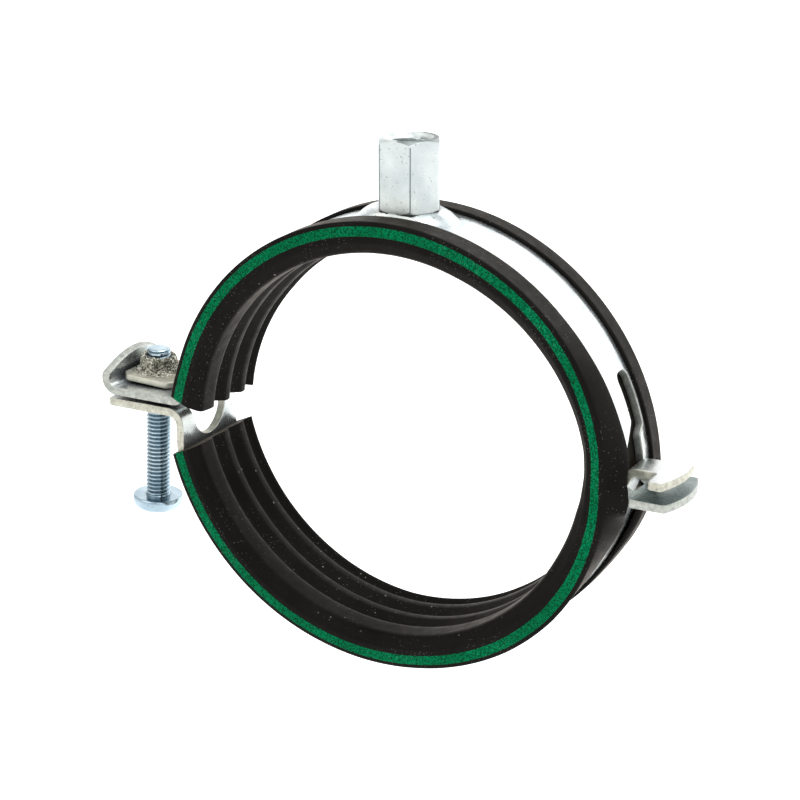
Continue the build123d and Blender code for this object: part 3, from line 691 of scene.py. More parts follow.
def stripe_section():
    """Closed loop (y, r) of the coloured stripe, which stands 0.05 mm proud of the front face."""
    low, high, proud, deep = 53.83, 55.97, FRONT_Y - 0.05, FRONT_Y + 0.2
    corners = [(proud, low), (proud, high), (deep, high), (deep, low)]
    return resampled(rounded(corners, [0.06, 0.06, 0, 0], closed=True, degrees=30.0), 0.12, True)


upper_lining, lower_lining = swept_pieces("lining", lining_section())
upper_stripe, lower_stripe = swept_pieces("stripe_band", stripe_section())

# %% [markdown]
# ## Connection nut
# The nut is a length of hexagonal bar, drilled and tapped. A six sided cylinder would have knife
# edges, so its outline is a soft hexagon: the distance to the flats is combined with a high
# power, which rounds the corners a little. A cone cuts the top corners, and the bore carries a
# helix. The top was sawn a little out of square.

# %% Connection nut
NUT_LOW, NUT_HIGH = 57.8, 73.8
NUT_FLAT = 6.75                          # axis to a flat
NUT_SHIFT = np.array([-0.25, -0.12, 0.0])
NUT_TURN = math.radians(-1.5)
TOP_SLOPE, TOP_RISES = 0.035, (0.474, -0.881)    # the sawn top rises this much, this way


def hexagon(angle, flat, sharpness=42.0):
    """Radius of a soft hexagon with that distance to its flats.
    r = flat / (sum over the flats of cos(angle - flat angle) ^ p) ^ (1 / p)."""
    turn = np.radians(np.arange(30.0, 360.0, 60.0)) + NUT_TURN
    share = np.clip(np.cos(angle[..., None] - turn), 0.0, None) ** sharpness
    return flat / share.sum(-1) ** (1.0 / sharpness)


def helix(angle, z, pitch, depth):
    """Depth of a single thread: a wave of the height less the turn, flattened at crest and root."""
    phase = (z / pitch - angle / (2 * math.pi)) % 1.0
    wave = np.abs(phase * 2.0 - 1.0)
    return depth * np.clip((wave - 0.12) / 0.76, 0.0, 1.0)


def lathe(rows_r, rows_z, angle):
    """Points of a turned surface: x = r cos a, y = r sin a, with r and z given for each row and angle."""
    return np.stack([rows_r * np.cos(angle), rows_r * np.sin(angle), rows_z], -1)


def smooth_min(a, b, width):
    """The lesser of two values, blended over a width."""
    h = np.clip(0.5 + 0.5 * (b - a) / width, 0.0, 1.0)
    return b + (a - b) * h - width * h * (1.0 - h)


def full_turn(around):
    """Row of evenly spaced angles round a full turn."""
    return np.linspace(0.0, 2 * math.pi, around, endpoint=False)[None]


def nut_points(around=240):
    """Grid of the nut: up the outside, over the top, down the countersink and the threaded bore."""
    angle = full_turn(around)
    tall = NUT_HIGH - NUT_LOW
    foot, side, rim = np.linspace(0.0, 0.6, 7), np.linspace(0.9, 14.4, 24), np.linspace(14.5, tall, 30)
    height = np.concatenate([foot, side, rim])[:, None]
    outer = hexagon(angle + 0 * height, NUT_FLAT)
    outer = smooth_min(outer, 6.5 + (tall - height) * 1.5 + 0 * angle, 0.14)
    outer = smooth_min(outer, 7.15 + height * 1.2 + 0 * angle, 0.2)
    top_r = outer[-1]
    share = np.array([0.25, 0.6, 1.0])[:, None]
    face = top_r + (5.55 - top_r) * share
    sink_r = np.array([5.45, 5.3, 4.9, 4.65])[:, None] + 0 * angle
    sink_z = tall - np.array([0.08, 0.45, 0.85, 1.1])[:, None] + 0 * angle
    bore_z = np.arange(14.8, 6.0, -0.12)[:, None] + 0 * angle
    bore_r = 4.28 + helix(angle + 0 * bore_z, bore_z, 1.5, 0.55)
    floor_r = np.array([3.4, 3.4, 0.01])[:, None] + 0 * angle
    floor_z = np.array([5.8, 0.6, 0.6])[:, None] + 0 * angle
    radius = np.concatenate([outer, face, sink_r, bore_r, floor_r])
    z = np.concatenate([height + 0 * angle, np.full_like(face, tall), sink_z, bore_z, floor_z])
    points = lathe(radius, NUT_LOW + z, angle + 0 * z)
    uphill = points[..., 0] * TOP_RISES[0] + points[..., 1] * TOP_RISES[1]
    points[..., 2] += TOP_SLOPE * uphill * smooth(z, 12.0, 15.0)
    return points + NUT_SHIFT


def corner_shade_mask(points):
    """Mark of painted shade lines on the nut's corners: 1 on a thin line beside each corner, outside the
    bore.
    """
    x, y, z = np.moveaxis(points, -1, 0)
    turn = np.degrees(np.arctan2(y - NUT_SHIFT[1], x - NUT_SHIFT[0]))
    off_line = np.abs((turn + 30) % 60 - 30)
    outside = (np.hypot(x, y) > 6.4) & (z > NUT_LOW + 0.3) & (z < NUT_HIGH - 0.9)
    return (off_line < 0.9) & outside


points = nut_points()
# painted shade: this mark puts dark lines along the nut's corners
nut = add_grid("hexagon_nut", points, 35, marks={"marked": corner_shade_mask(points)})

# %% [markdown]
# ## Nut seat
# Under the nut the strip is pressed up into a low round seat, so that the nut stands level on the
# curved band. It is a surface over a disc, added to the strip's own curve, and its foot runs out
# just inside the strip and under the lips of the lining.

# %% Nut seat
def seat_points(around=120):
    """Grid of the seat: flat on top, and falling on a smooth flank to just inside the strip.
    The strip's height at a point is sqrt(R^2 - x^2)."""
    angle = full_turn(around)
    rho = np.concatenate([[0.5, 4.0, 6.0], np.linspace(6.6, 11.4, 22)])[:, None]
    x, y = 1.25 * rho * np.cos(angle) - 1.0, rho * np.sin(angle)
    strip = np.sqrt(STRIP_OUTER**2 - x**2)
    rise = 1.0 - smooth(rho, 6.0, 10.8)
    rear_fade = smooth(y, REAR_LIP_Y + 0.3, REAR_LIP_Y + 0.9)
    bare = smooth(y, FRONT_LIP_Y - 0.9, FRONT_LIP_Y - 0.3) * (1 - rear_fade)
    sunk = 0.12
    z = strip - sunk + (NUT_LOW + 0.02 - strip + sunk) * rise * bare
    return np.stack([x, y, z], -1)


nut_seat = add_grid("nut_seat", seat_points(), 60, caps=("first",))

# %% [markdown]
# ## Threaded plate
# The plate is a small punched blank. Its thread sits in a rough neck, where the metal was drawn
# up and staked, and sine waves with fixed phases give that its lumps. Round the screw the plate
# is a polar grid, whose outer radius is the distance to its outline.

# %% Threaded plate
PLATE_TOE, PLATE_HEEL, PLATE_SIDE, PLATE_CORNER = 8.6, 5.6, 7.9, 1.6
PLATE_THICK, PLATE_BORE = 1.55, 2.95
NECK_PROFILE = (
    (0.15, 5.1), (0.5, 5.3), (0.8, 5.25), (1.05, 5.0), (1.2, 4.6), (1.3, 4.2), (1.36, 3.8),
    (1.4, 3.4), (1.45, 3.05), (1.5, 2.7), (1.6, 2.35), (1.75, 2.05), (2.0, 1.8), (2.4, 1.62))


def leaned(points):
    """Points of the screw's own frame put in place: turned by the lean about Y, then moved."""
    c, s = math.cos(SCREW_LEAN), math.sin(SCREW_LEAN)
    x, y, z = np.moveaxis(points, -1, 0)
    return np.stack([SCREW_X + c * x + s * z, y, PLATE_REST_Z - s * x + c * z], -1)


def rough(x, y, z, seed, scale):
    """Sum of a few sine waves with fixed phases: a cheap lumpy noise between about -1 and 1."""
    draw = np.random.default_rng(seed)
    total = 0.0
    for _ in range(7):
        wave, phase = draw.normal(size=3) * scale, draw.uniform(0, 2 * math.pi)
        total = total + np.sin(wave[0] * x + wave[1] * y + wave[2] * z + phase)
    return total / 3.5


def plate_outline(angle):
    """Distance from the screw's axis to the plate's outline: the least of the distances to its
    sides d / cos(a - side angle), joined softly by a high power."""
    toe_cut = (PLATE_TOE + PLATE_SIDE - PLATE_CORNER) / math.sqrt(2)
    heel_cut = (PLATE_HEEL + PLATE_SIDE - PLATE_CORNER) / math.sqrt(2)
    sides = [(0.0, PLATE_TOE), (90.0, PLATE_SIDE), (180.0, PLATE_HEEL), (270.0, PLATE_SIDE),
             (45.0, toe_cut), (315.0, toe_cut), (135.0, heel_cut), (225.0, heel_cut)]
    power, total = 60.0, 0.0
    for turn, distance in sides:
        reach = distance / np.clip(np.cos(angle - math.radians(turn)), 0.05, None)
        total = total + (1.0 / reach) ** power
    return total ** (-1.0 / power)


def plate_rows(angle):
    """Radius and height of each row of the plate: up the bore, over the neck, out along the top,
    round the edge and back below."""
    out, still, round_by = plate_outline(angle), 0 * angle, 0.15
    ragged = 1.0 + 0.1 * np.sin(3 * angle + 1.0) + 0.06 * np.sin(7 * angle)
    pocket = smooth(np.cos(angle + 0.75), 0.82, 0.96)
    rows = [(PLATE_BORE + still, still), (PLATE_BORE + still, 4.8 + still)]
    for out_by, height in NECK_PROFILE:
        dent = pocket * 1.1 * smooth(height, 1.9, 2.6) * (1 - smooth(height, 3.9, 4.7))
        rows.append((PLATE_BORE + out_by * ragged - dent, height + still))
    foot = PLATE_BORE + 2.45 * ragged + 0.25
    for share in np.linspace(0.0, 1.0, 22):
        rows.append((foot + (out - round_by - foot) * share, PLATE_THICK + still))
    for turn in np.radians([30.0, 60.0, 90.0]):
        height = PLATE_THICK - round_by + round_by * np.cos(turn)
        rows.append((out - round_by + round_by * np.sin(turn), height + still))
    rows += [(out, 0.25 + still), (out - 0.1, 0.06 + still), (out - 0.25, still)]
    rows.append((PLATE_BORE + 0.4 + still, still))
    radius, height = (np.concatenate([row[i] for row in rows]) for i in (0, 1))
    return radius, height, out


def plate_points(around=220):
    """Grid of the plate, with lumps on its neck and, fainter, on its upper face."""
    radius, z, out = plate_rows(full_turn(around))
    spin = full_turn(around) + 0 * radius
    x, y = radius * np.cos(spin), radius * np.sin(spin)
    on_neck = (z > 0.5) & (radius > PLATE_BORE + 0.1) & (radius < PLATE_BORE + 2.6)
    lumps = rough(x, y, z, 5, 2.2) * 0.13 + rough(x, y, z, 9, 5.5) * 0.15
    lumps = lumps + rough(x, y, z, 11, 10.0) * 0.11
    swell = 1.0 + np.where(on_neck, lumps * smooth(z, 1.6, 2.4), 0.0) / radius
    x, y = x * swell, y * swell
    on_top = (z > PLATE_THICK - 0.01) & (radius < out - 0.3) & (radius > PLATE_BORE + 0.1)
    z = z + np.where(on_top, lumps * (0.3 + 0.9 * smooth(6.0 - radius, 0.0, 1.0)), 0.0)
    return np.stack([x, y, z], -1)


def swarf(points):
    """Mark of the crumbly metal: 1 on the neck, fading into the plate's upper face."""
    from_axis = np.hypot(points[..., 0] - SCREW_X, points[..., 1])
    raised = smooth(points[..., 2] - PLATE_REST_Z, 0.9, 1.6)
    return raised * (1 - smooth(from_axis, 5.6, 6.8))


points = leaned(plate_points())
plate = add_grid("staked_plate", points, 50, caps=("ring",), marks={"marked": swarf(points)})

# %% [markdown]
# ## Closing screw
# The screw is a common machine screw, with a rolled thread that is tapered at the tip and runs
# out under the head. A Screw modifier could wind the thread, but a radius that falls by the
# thread's wave gives tip and run-out with the same few lines, and tells how deep in the groove
# each point lies.

# %% Closing screw
SCREW_STANDOUT, SCREW_LENGTH = 6.9, 37.8
HEAD_TOP = SCREW_STANDOUT - SCREW_LENGTH


def thread_points(around=64, step=0.055):
    """Grid of the threaded shank, and how deep in the thread's groove each point lies.
    It tapers over its last millimetre at the tip and runs out under the head."""
    angle = full_turn(around)
    z = np.arange(HEAD_TOP - 0.4, SCREW_STANDOUT, step)[:, None] + 0 * angle
    groove = (1 - helix(angle + 0 * z, z, 1.0, 1.0)) * smooth(z, HEAD_TOP, HEAD_TOP + 1.2)
    to_tip = SCREW_STANDOUT - z
    radius = np.minimum(2.96 - 0.5 * groove, np.minimum(2.3 + to_tip * 1.4, 2.62 + to_tip * 0.1))
    tip_r = np.array([[2.2], [1.2], [0.05]]) + 0 * angle
    tip = lathe(tip_r, np.full_like(tip_r, SCREW_STANDOUT), angle + 0 * tip_r)
    points = np.concatenate([lathe(radius, z, angle + 0 * z), tip])
    return points, np.concatenate([groove, 0 * tip_r])


points, groove = thread_points()
# the depth in the groove also places painted shade in the thread's root
screw_thread = add_grid("screw_thread", leaned(points), marks={"groove": groove})

# %% [markdown]
# ## Pan head
# The head was forged, so it is turned from a rounded profile, from its flat upper face round the
# rim to the crown below. Its slot and cross were struck in one blow. Exact Booleans with three
# boxes give their clean inner corners, and the result is kept as the piece's own mesh.

# %% Pan head
HEAD_TALL = 3.7
RECESS_DEG = 35.0
RECESS = [((16.0, 1.6, 4.0), 2.0), ((6.0, 1.3, 5.6), 2.8), ((1.3, 6.0, 5.6), 2.8)]    # size, depth


def head_points(around=96):
    """Grid of the pan head, from its flat upper face round the rim to the crown below."""
    angle = full_turn(around)
    corners = [(2.4, 0.0), (6.05, 0.0), (6.2, -0.9), (5.9, -2.3), (4.9, -3.3), (3.2, -3.68),
               (0.05, -HEAD_TALL)]
    profile = rounded(corners, [0, 0.35, 0.8, 1.6, 1.6, 3.0, 0], degrees=12.0)
    radius, z = np.split(resampled(profile, 0.22), 2, axis=1)
    return lathe(radius + 0 * angle, HEAD_TOP + z + 0 * angle, angle + 0 * radius)


def cutter(sizes, centre, name):
    """Box mesh in the screw's frame, turned like the recess."""
    x, y, z = [s / 2 for s in sizes]
    corners = [(i * x, j * y, k * z) for i in (-1, 1) for j in (-1, 1) for k in (-1, 1)]
    x, y, z = (np.array(corners) + centre).T
    c, s = math.cos(math.radians(RECESS_DEG)), math.sin(math.radians(RECESS_DEG))
    spun = np.stack([c * x - s * y, s * x + c * y, z], 1)
    faces = [(0, 1, 3, 2), (4, 6, 7, 5), (0, 4, 5, 1), (2, 3, 7, 6), (0, 2, 6, 4), (1, 5, 7, 3)]
    return add_mesh(name, leaned(spun), faces)


screw_head = add_grid("screw_head", leaned(head_points()))
for index, (sizes, depth) in enumerate(RECESS):
    centre = (0, 0, HEAD_TOP - HEAD_TALL + depth - sizes[2] / 2)
    tool = cutter(sizes, centre, f"recess_tool_{index}")
    cut_away = screw_head.modifiers.new(f"recess_{index}", "BOOLEAN")
    cut_away.operation, cut_away.solver, cut_away.object = "DIFFERENCE", "EXACT", tool
bpy.context.view_layer.update()
made = bpy.data.meshes.new_from_object(screw_head.evaluated_get(bpy.context.evaluated_depsgraph_get()))
screw_head.modifiers.clear()
screw_head.data = made
made.set_sharp_from_angle(angle=math.radians(35))
for index in range(len(RECESS)):
    bpy.data.objects.remove(bpy.data.objects[f"recess_tool_{index}"])
print("screw head faces:", len(made.polygons))

# %% [markdown]
# ## Bodies
# The halves, the plate and the screw move apart when the clamp opens. Each new piece rides on the
# CAD body that it belongs to, and stands for that body's node.

# %% Bodies
RIDES = [
    (upper_band, "upper_half", ("upper_band",), "band_zinc"),
    (nut_seat, "upper_half", (), "band_zinc"),
    (lower_band, "lower_half", ("lower_band",), "band_zinc"),
    (upper_lining, "upper_half", ("upper_liner",), "lining_rubber"),
    (lower_lining, "lower_half", ("lower_liner",), "lining_rubber"),
    (upper_stripe, "upper_half", ("upper_stripe",), "stripe_rubber"),
    (lower_stripe, "lower_half", ("lower_stripe",), "stripe_rubber"),
    (nut, "upper_half", ("connection_nut",), "nut_zinc"),
    (plate, "plate", ("threaded_plate",), "plate_zinc"),
    (screw_thread, "screw", ("closing_screw",), "screw_zinc"),
    (screw_head, "screw", (), "screw_zinc"),
]
for piece, body, nodes, slot in RIDES:
    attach(piece, body)
    if nodes:
        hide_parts(*nodes)
print("pieces:", len(RIDES))

# %% [markdown]
# ## Node helpers
# Every finish here is made of the same few steps: a noise in object coordinates, a ramp that
# turns it into a colour or a number, a mix, and bumps. Image textures would need unwrapping and
# could not be resized. Short helpers keep each material readable.

# %% Node helpers
def start_material(name):
    """New node material: its tree, its Principled node and an object coordinate socket."""
    material = bpy.data.materials.new(name)
    material.use_nodes = True
    tree = material.node_tree
    shader = next(n for n in tree.nodes if n.type == "BSDF_PRINCIPLED")
    where = tree.nodes.new("ShaderNodeTexCoord").outputs["Object"]
    return material, tree, shader, where


def noise(tree, where, scale, detail=3.0, rough_share=0.5):
    """Noise factor at a number of features per metre."""
    node = tree.nodes.new("ShaderNodeTexNoise")
    node.inputs["Scale"].default_value = scale
    node.inputs["Detail"].default_value = detail
    node.inputs["Roughness"].default_value = rough_share
    tree.links.new(where, node.inputs["Vector"])
    return node.outputs["Fac"]


def grey(value):
    """Colour with three like channels."""
    return (value, value, value)


def ramp(tree, factor, stops):
    """Colour ramp from (position, colour) stops; a plain number stands for a grey."""
    node = tree.nodes.new("ShaderNodeValToRGB")
    elements = node.color_ramp.elements
    while len(elements) < len(stops):
        elements.new(0.5)
    for element, (position, colour) in zip(elements, stops):
        element.position = position
        element.color = (*(colour if isinstance(colour, tuple) else grey(colour)), 1.0)
    tree.links.new(factor, node.inputs["Fac"])
    return node.outputs["Color"]


def mix(tree, factor, a, b, kind="MIX"):
    """Colour mix of two sockets or constants."""
    node = tree.nodes.new("ShaderNodeMix")
    node.data_type = "RGBA"
    node.blend_type = kind
    for socket, value in ((node.inputs[0], factor), (node.inputs[6], a), (node.inputs[7], b)):
        if isinstance(value, bpy.types.NodeSocket):
            tree.links.new(value, socket)
        elif isinstance(value, tuple):
            socket.default_value = (*value, 1.0)
        else:
            socket.default_value = value
    return node.outputs[2]


def bump(tree, shader, heights):
    """Chain of bump nodes: (height socket, distance in metres, strength)."""
    normal = None
    for height, distance, strength in heights:
        node = tree.nodes.new("ShaderNodeBump")
        node.inputs["Distance"].default_value = distance
        node.inputs["Strength"].default_value = strength
        tree.links.new(height, node.inputs["Height"])
        if normal is not None:
            tree.links.new(normal, node.inputs["Normal"])
        normal = node.outputs["Normal"]
    tree.links.new(normal, shader.inputs["Normal"])


def maths(tree, operation, first, second):
    """Arithmetic on two sockets, or on a socket and a constant."""
    node = tree.nodes.new("ShaderNodeMath")
    node.operation = operation
    for socket, value in zip(node.inputs, (first, second)):
        if isinstance(value, bpy.types.NodeSocket):
            tree.links.new(value, socket)
        else:
            socket.default_value = value
    return node.outputs[0]


def masked(tree, mask, cover):
    """Mask times a second one: both have to be white."""
    return mix(tree, 1.0, mask, cover, "MULTIPLY")


def mark(tree, name):
    """Factor of a mark that the mesh carries."""
    node = tree.nodes.new("ShaderNodeAttribute")
    node.attribute_name = name
    return node.outputs["Fac"]


def split(tree, vector):
    """The x, y and z sockets of a vector."""
    node = tree.nodes.new("ShaderNodeSeparateXYZ")
    tree.links.new(vector, node.inputs[0])
    return node.outputs


# %% [markdown]
# ## Zinc plating
# Bright zinc is a metal with a cloudy tint and fine grain. Its cut edges are duller, and an
# ambient occlusion node darkens its corners, which is painted shade. Marks that the meshes carry
# place the crumbs on the plate's neck, painted shade lines on the nut's corners and painted shade
# in the root of the thread. One function makes all five zincs.

# %% Zinc plating
def upward_beyond(tree, start):
    """Mask of upward faces beyond a place on x, given in tenths of a metre."""
    coordinates = tree.nodes.new("ShaderNodeTexCoord")
    x = maths(tree, "MULTIPLY", split(tree, coordinates.outputs["Object"])["X"], 10.0)
    beyond = ramp(tree, x, [(start, 0.0), (start + 0.02, 1.0)])
    upward = ramp(tree, split(tree, coordinates.outputs["Normal"])["Z"], [(0.6, 0.0), (0.9, 1.0)])
    return masked(tree, beyond, upward)


def zinc(name, tints, rough, metal=1.0, grit=0.25, torn=None, marked=None, groove=None, top=None,
         top_from=0.585):
    """Zinc plating. Two noises tint it and a fine one roughens it, and painted shade darkens its corners.
    tints: light, dark and stain. rough: lowest and highest roughness. torn: stops for the cut
    edges. marked: stops for marked places, the plate's crumbs and the nut's painted shade lines.
    groove: tint of the painted shade in the thread's root. top: painted tint of the upward faces
    beyond top_from, in place of what they mirror."""
    light, dark, stain = tints
    material, tree, shader, where = start_material(name)
    colour = ramp(tree, noise(tree, where, 130.0, 4.0), [(0.32, dark), (0.62, light)])
    stained = ramp(tree, noise(tree, where, 60.0, 5.0), [(0.5, 0.0), (0.72, 1.0)])
    colour = mix(tree, mix(tree, 0.45, grey(0.0), stained), colour, stain)
    roughness = ramp(tree, noise(tree, where, 420.0, 5.0), [(0.3, rough[0]), (0.7, rough[1])])
    shader.inputs["Metallic"].default_value = metal
    if torn:
        cut = mark(tree, "cut")
        colour = mix(tree, cut, colour, ramp(tree, noise(tree, where, 900.0, 3.0, 0.6), torn))
        roughness = mix(tree, cut, roughness, grey(0.4))
        tree.links.new(mix(tree, cut, grey(metal), grey(0.5)), shader.inputs["Metallic"])
    tree.links.new(roughness, shader.inputs["Roughness"])
    pits = ramp(tree, noise(tree, where, 1500.0, 3.0, 0.7), [(0.3, 0.0), (0.36, 1.0)])
    colour = mix(tree, pits, grey(0.12), colour)
    heights = [(noise(tree, where, 2600.0, 2.0), 0.00002, grit),
               (noise(tree, where, 300.0, 4.0), 0.00006, 0.16)]
    if marked:
        place, grains = mark(tree, "marked"), noise(tree, where, 1900.0, 4.0, 0.75)
        colour = mix(tree, place, colour, ramp(tree, grains, marked))
        heights.append((mix(tree, place, grey(0.0), grains), 0.0004, 0.8))
    # painted shade: the thread's root is darkened where the groove is deep
    if groove:
        deep = ramp(tree, mark(tree, "groove"), [(0.25, 0.0), (0.8, 1.0)])
        colour = mix(tree, deep, colour, groove)
    # painted shade and painted highlight: upward faces beyond top_from get a tint in place of what they
    # mirror, dark on the nut's top and the upper ear by the hook, light on the T head's top
    if top:
        colour = mix(tree, upward_beyond(tree, top_from), colour, top)
    # painted shade: an ambient occlusion node darkens the base colour in corners and crevices
    occlusion_node = tree.nodes.new("ShaderNodeAmbientOcclusion")
    occlusion_node.inputs["Distance"].default_value = 0.0025
    occluded_shade = ramp(tree, occlusion_node.outputs["AO"], [(0.15, 0.10), (0.75, 1.0)])
    tree.links.new(masked(tree, colour, occluded_shade), shader.inputs["Base Color"])
    bump(tree, shader, heights)
    return material


# %% [markdown]
# ## Rubber
# The lining is near black, with a faint brown sheen and pale dust that has settled in patches.
# The stripe is the same stuff in green, and its pores show dark. Voronoi cells scatter the dust:
# only those whose random colour is high carry a speck.

# %% Rubber
def specks(tree, where, scale, size, shift):
    """Mask of scattered specks: voronoi cells whose own random colour is high, near their centre."""
    mapping = tree.nodes.new("ShaderNodeMapping")
    mapping.inputs["Location"].default_value = shift
    tree.links.new(where, mapping.inputs["Vector"])
    cell = tree.nodes.new("ShaderNodeTexVoronoi")
    cell.inputs["Scale"].default_value = scale
    tree.links.new(mapping.outputs["Vector"], cell.inputs["Vector"])
    near = ramp(tree, cell.outputs["Distance"], [(size * 0.6, 1.0), (size, 0.0)])
    few = ramp(tree, cell.outputs["Color"], [(0.72, 0.0), (0.8, 1.0)])
    return masked(tree, near, few)


def rubber(name, tints, shine, sheen, pores=None):
    """Moulded rubber: a faint bloom, scattered pale dust, a few larger specks and fine grain.
    tints: base, bloom and dust. pores: tint of the pits of a speckled compound."""
    base, bloom, pale = tints
    material, tree, shader, where = start_material(name)
    colour = ramp(tree, noise(tree, where, 90.0, 5.0), [(0.35, base), (0.75, bloom)])
    if pores:
        pitted = ramp(tree, noise(tree, where, 2300.0, 3.0, 0.75), [(0.44, 1.0), (0.54, 0.0)])
        colour = mix(tree, pitted, colour, pores)
    settled = ramp(tree, noise(tree, where, 45.0, 3.0), [(0.46, 0.1), (0.6, 1.0)])
    dust = masked(tree, specks(tree, where, 2300.0, 0.30, (0.0, 0.0, 0.0)), settled)
    patches = ramp(tree, noise(tree, where, 30.0, 2.0), [(0.42, 0.0), (0.56, 1.0)])
    crumbs = masked(tree, specks(tree, where, 620.0, 0.17, (0.3, 0.1, 0.2)), patches)
    for strength, mask in ((0.45, dust), (0.8, crumbs)):
        colour = mix(tree, mix(tree, strength, grey(0.0), mask), colour, pale)
    tree.links.new(colour, shader.inputs["Base Color"])
    roughness = ramp(tree, noise(tree, where, 500.0, 4.0), [(0.3, 0.42), (0.7, 0.6)])
    tree.links.new(roughness, shader.inputs["Roughness"])
    shader.inputs["Specular IOR Level"].default_value = shine
    shader.inputs["Sheen Weight"].default_value = sheen
    shader.inputs["Sheen Roughness"].default_value = 0.35
    shader.inputs["Sheen Tint"].default_value = (1.0, 0.82, 0.62, 1.0)
    bump(tree, shader, [(noise(tree, where, 1900.0, 4.0, 0.65), 0.00004, 0.35),
                        (noise(tree, where, 260.0, 3.0), 0.0001, 0.3)])
    return material


# %% [markdown]
# ## Finishes
# Tints are linear shares of red, green and blue. The band that carries the nut is a little
# colder than the other one, which is painted a little darker as painted shade. The screw is
# bluish, and the plate is dull. The nut's top and the upper ear beside the hook are tinted dark,
# as painted shade: facing up, they would mirror nothing but white and lose their form. The top of
# the T head is tinted a little lighter, as a painted highlight.

# %% Finishes
CRUMBS = [(0.40, (0.03, 0.03, 0.02)), (0.52, (0.40, 0.39, 0.31)), (0.62, (0.95, 0.95, 0.88))]
# painted shade lines along the nut's corners
CORNER_SHADE = [(0.3, (0.02, 0.05, 0.05)), (0.7, (0.10, 0.15, 0.15))]
TORN = [(0.3, (0.32, 0.34, 0.31)), (0.6, (0.54, 0.56, 0.51))]
TORN_WARM = [(0.3, (0.42, 0.41, 0.34)), (0.6, (0.66, 0.65, 0.55))]
BAND = zinc("zinc_band", [(0.74, 0.77, 0.78), (0.50, 0.56, 0.58), (0.66, 0.65, 0.55)],
            (0.18, 0.34), metal=0.8, torn=TORN, top=(0.16, 0.20, 0.19))
# the lower band is the same zinc painted a little darker, as painted shade
LOWER = zinc("zinc_lower_painted_darker", [(0.70, 0.73, 0.72), (0.46, 0.51, 0.50), (0.62, 0.60, 0.48)],
             (0.20, 0.36), metal=0.8, torn=TORN_WARM, top=(0.74, 0.76, 0.75))
NUT = zinc("zinc_nut", [(0.76, 0.81, 0.80), (0.56, 0.62, 0.62), (0.76, 0.75, 0.64)],
           (0.26, 0.42), metal=0.65, marked=CORNER_SHADE, top=(0.15, 0.18, 0.17), top_from=-1.0)
PLATE = zinc("zinc_plate", [(0.66, 0.65, 0.55), (0.34, 0.33, 0.27), (0.50, 0.45, 0.30)],
             (0.36, 0.6), metal=0.8, grit=0.8, marked=CRUMBS)
# groove: painted shade in the thread's root
SCREW = zinc("zinc_screw", [(0.46, 0.57, 0.63), (0.29, 0.39, 0.46), (0.44, 0.50, 0.52)],
             (0.18, 0.30), grit=0.08, groove=(0.13, 0.20, 0.25))
LINING = rubber("rubber_black", [(0.0035, 0.003, 0.0026), (0.009, 0.008, 0.0065), (0.34, 0.34, 0.30)],
                0.07, 0.2)
STRIPE = rubber("rubber_green", [(0.0, 0.24, 0.085), (0.0, 0.34, 0.13), (0.30, 0.70, 0.45)],
                0.04, 0.0, pores=(0.0, 0.075, 0.028))
FINISH = [(upper_band, BAND), (lower_band, LOWER), (nut_seat, BAND), (nut, NUT), (plate, PLATE),
          (screw_thread, SCREW), (screw_head, SCREW), (upper_lining, LINING), (lower_lining, LINING),
          (upper_stripe, STRIPE), (lower_stripe, STRIPE)]
for piece, material in FINISH:
    piece.data.materials.clear()
    piece.data.materials.append(material)
print("materials:", len({material.name for _, material in FINISH}))

# %% [markdown]
# ## Studio
# A white sheet with soft lamps all round is the usual way to picture hardware. The camera,
# mirrored rays and passing rays meet a plain white surround, so that the zinc mirrors white,
# while diffuse rays meet a dim one that is graded by height. So the background is white by itself
# and the lamps can stay low, which keeps the pale surfaces from clipping.

# %% Studio
LIGHTS = [                # name, place, aim, size in metres, power in watts, colour
    ("top", (0.25, 0.05, 0.8), (0, 0, 0.02), 0.7, 3.8, (1.0, 1.0, 1.0)),
    ("back", (0.2, 1.0, 0.3), (0, 0, 0.01), 1.1, 4.5, (1.0, 1.0, 1.0)),
    ("back_left", (-0.85, 0.9, 0.25), (0, 0, 0.01), 0.7, 0.9, (1.0, 1.0, 1.0)),
    ("right", (0.9, 0.5, -0.06), (0.03, 0, 0.0), 0.5, 1.2, (1.0, 1.0, 1.0)),
    ("fill", (0.75, -0.85, 0.4), (0.03, 0, 0), 0.6, 1.4, (0.96, 0.98, 1.0)),
    ("left", (-0.45, -0.85, 0.65), (-0.03, 0, 0), 0.9, 2.6, (1.0, 1.0, 0.95)),
]


def sees_backdrop(tree):
    """1 for rays that meet the plain white backdrop: the camera's, mirrored and passing ones."""
    path = tree.nodes.new("ShaderNodeLightPath").outputs
    mirrored = maths(tree, "MAXIMUM", path["Is Camera Ray"], path["Is Glossy Ray"])
    return maths(tree, "MAXIMUM", mirrored, path["Is Transmission Ray"])


def area_light(name, place, aim, size, power, colour):
    """Square soft light, aimed at a point."""
    data = bpy.data.lights.new(name, "AREA")
    data.shape, data.size, data.energy, data.color = "SQUARE", size, power, colour
    light = bpy.data.objects.new(name, data)
    light.location = place
    light.rotation_euler = (Vector(aim) - Vector(place)).to_track_quat("-Z", "Y").to_euler()
    bpy.context.scene.collection.objects.link(light)


# %% [markdown]
# ## Floor and surround
# The floor lies far below, so that it stays out of the way of the shadows and of the poses. It
# shines by itself, as the world does, fully for the rays that should see white and faintly for
# others.

# %% Floor and surround
FLOOR_HALF, FLOOR_LEVEL = 1.6, -0.16
WHITE = (1.0, 1.0, 1.0, 1.0)
SURROUND = [(0.0, (0.45, 0.47, 0.50)), (0.2, (0.22, 0.25, 0.28)), (0.7, (0.7, 0.73, 0.75))]


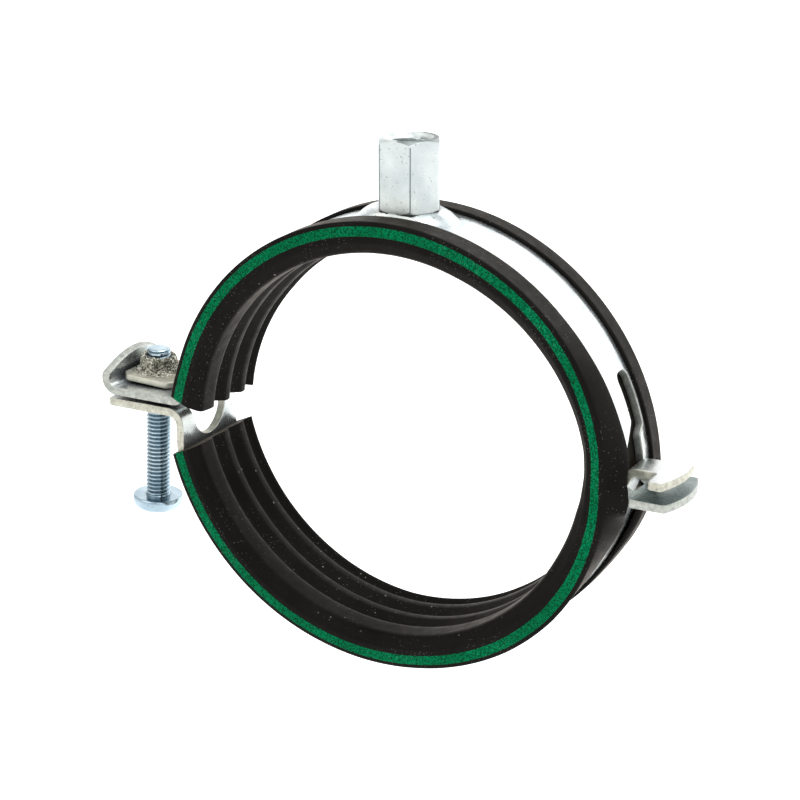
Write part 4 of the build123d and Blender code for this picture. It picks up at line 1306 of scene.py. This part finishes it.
def floor_material():
    """Pale matt floor that shines by itself: fully for the backdrop's rays, faintly for others."""
    material, tree, shader, where = start_material("floor_pale")
    tone = ramp(tree, noise(tree, where, 6.0), [(0.3, 0.93), (0.7, 0.96)])
    tree.links.new(tone, shader.inputs["Base Color"])
    shader.inputs["Roughness"].default_value = 0.9
    shader.inputs["Emission Color"].default_value = WHITE
    strength = mix(tree, sees_backdrop(tree), grey(0.25), grey(1.0))
    tree.links.new(strength, shader.inputs["Emission Strength"])
    return material


def add_floor():
    """Square floor below the clamp."""
    half, level = FLOOR_HALF, FLOOR_LEVEL
    mesh = bpy.data.meshes.new("floor")
    corners = [(-half, -half, level), (half, -half, level), (half, half, level), (-half, half, level)]
    mesh.from_pydata(corners, [], [(0, 1, 2, 3)])
    mesh.materials.append(floor_material())
    floor = bpy.data.objects.new("floor", mesh)
    bpy.context.scene.collection.objects.link(floor)


def surround():
    """World: plain white for the backdrop's rays, and a dim one graded by height for others."""
    world = bpy.data.worlds.new("surround")
    bpy.context.scene.world = world
    world.use_nodes = True
    tree = world.node_tree
    tree.nodes.clear()
    out, join = tree.nodes.new("ShaderNodeOutputWorld"), tree.nodes.new("ShaderNodeMixShader")
    seen, felt = tree.nodes.new("ShaderNodeBackground"), tree.nodes.new("ShaderNodeBackground")
    seen.inputs["Color"].default_value = WHITE
    way = tree.nodes.new("ShaderNodeTexCoord").outputs["Generated"]
    tree.links.new(ramp(tree, split(tree, way)["Z"], SURROUND), felt.inputs["Color"])
    felt.inputs["Strength"].default_value = 0.35
    for index, socket in enumerate((sees_backdrop(tree), felt.outputs[0], seen.outputs[0])):
        tree.links.new(socket, join.inputs[index])
    tree.links.new(join.outputs[0], out.inputs["Surface"])


# %% [markdown]
# ## Camera
# A long lens from some half a metre away keeps the ring's two faces nearly alike in size. The
# camera looks down a little from the right.

# %% Camera
CAMERA_TURN, CAMERA_RISE = math.radians(28.28), math.radians(18.93)
CAMERA_FAR, CAMERA_AIM, CAMERA_LENS = 0.54733, (-0.00256, 0.0, 0.01226), 107.96


def add_camera():
    """Camera of the main view, looking back along the unit vector from its aim:
    (sin turn cos rise, -cos turn cos rise, sin rise)."""
    level = math.cos(CAMERA_RISE)
    back = Vector((math.sin(CAMERA_TURN) * level, -math.cos(CAMERA_TURN) * level, math.sin(CAMERA_RISE)))
    data = bpy.data.cameras.new("camera")
    data.lens, data.sensor_width = CAMERA_LENS, 36.0
    data.clip_start, data.clip_end = 0.01, 20.0
    view = bpy.data.objects.new("camera", data)
    view.location = Vector(CAMERA_AIM) + back * CAMERA_FAR
    view.rotation_euler = (-back).to_track_quat("-Z", "Y").to_euler()
    bpy.context.scene.collection.objects.link(view)
    bpy.context.scene.camera = view


add_floor()
surround()
for light in LIGHTS:
    area_light(*light)
add_camera()
bpy.context.scene.view_settings.view_transform = "Standard"
print("camera:", bpy.context.scene.camera.location[:])
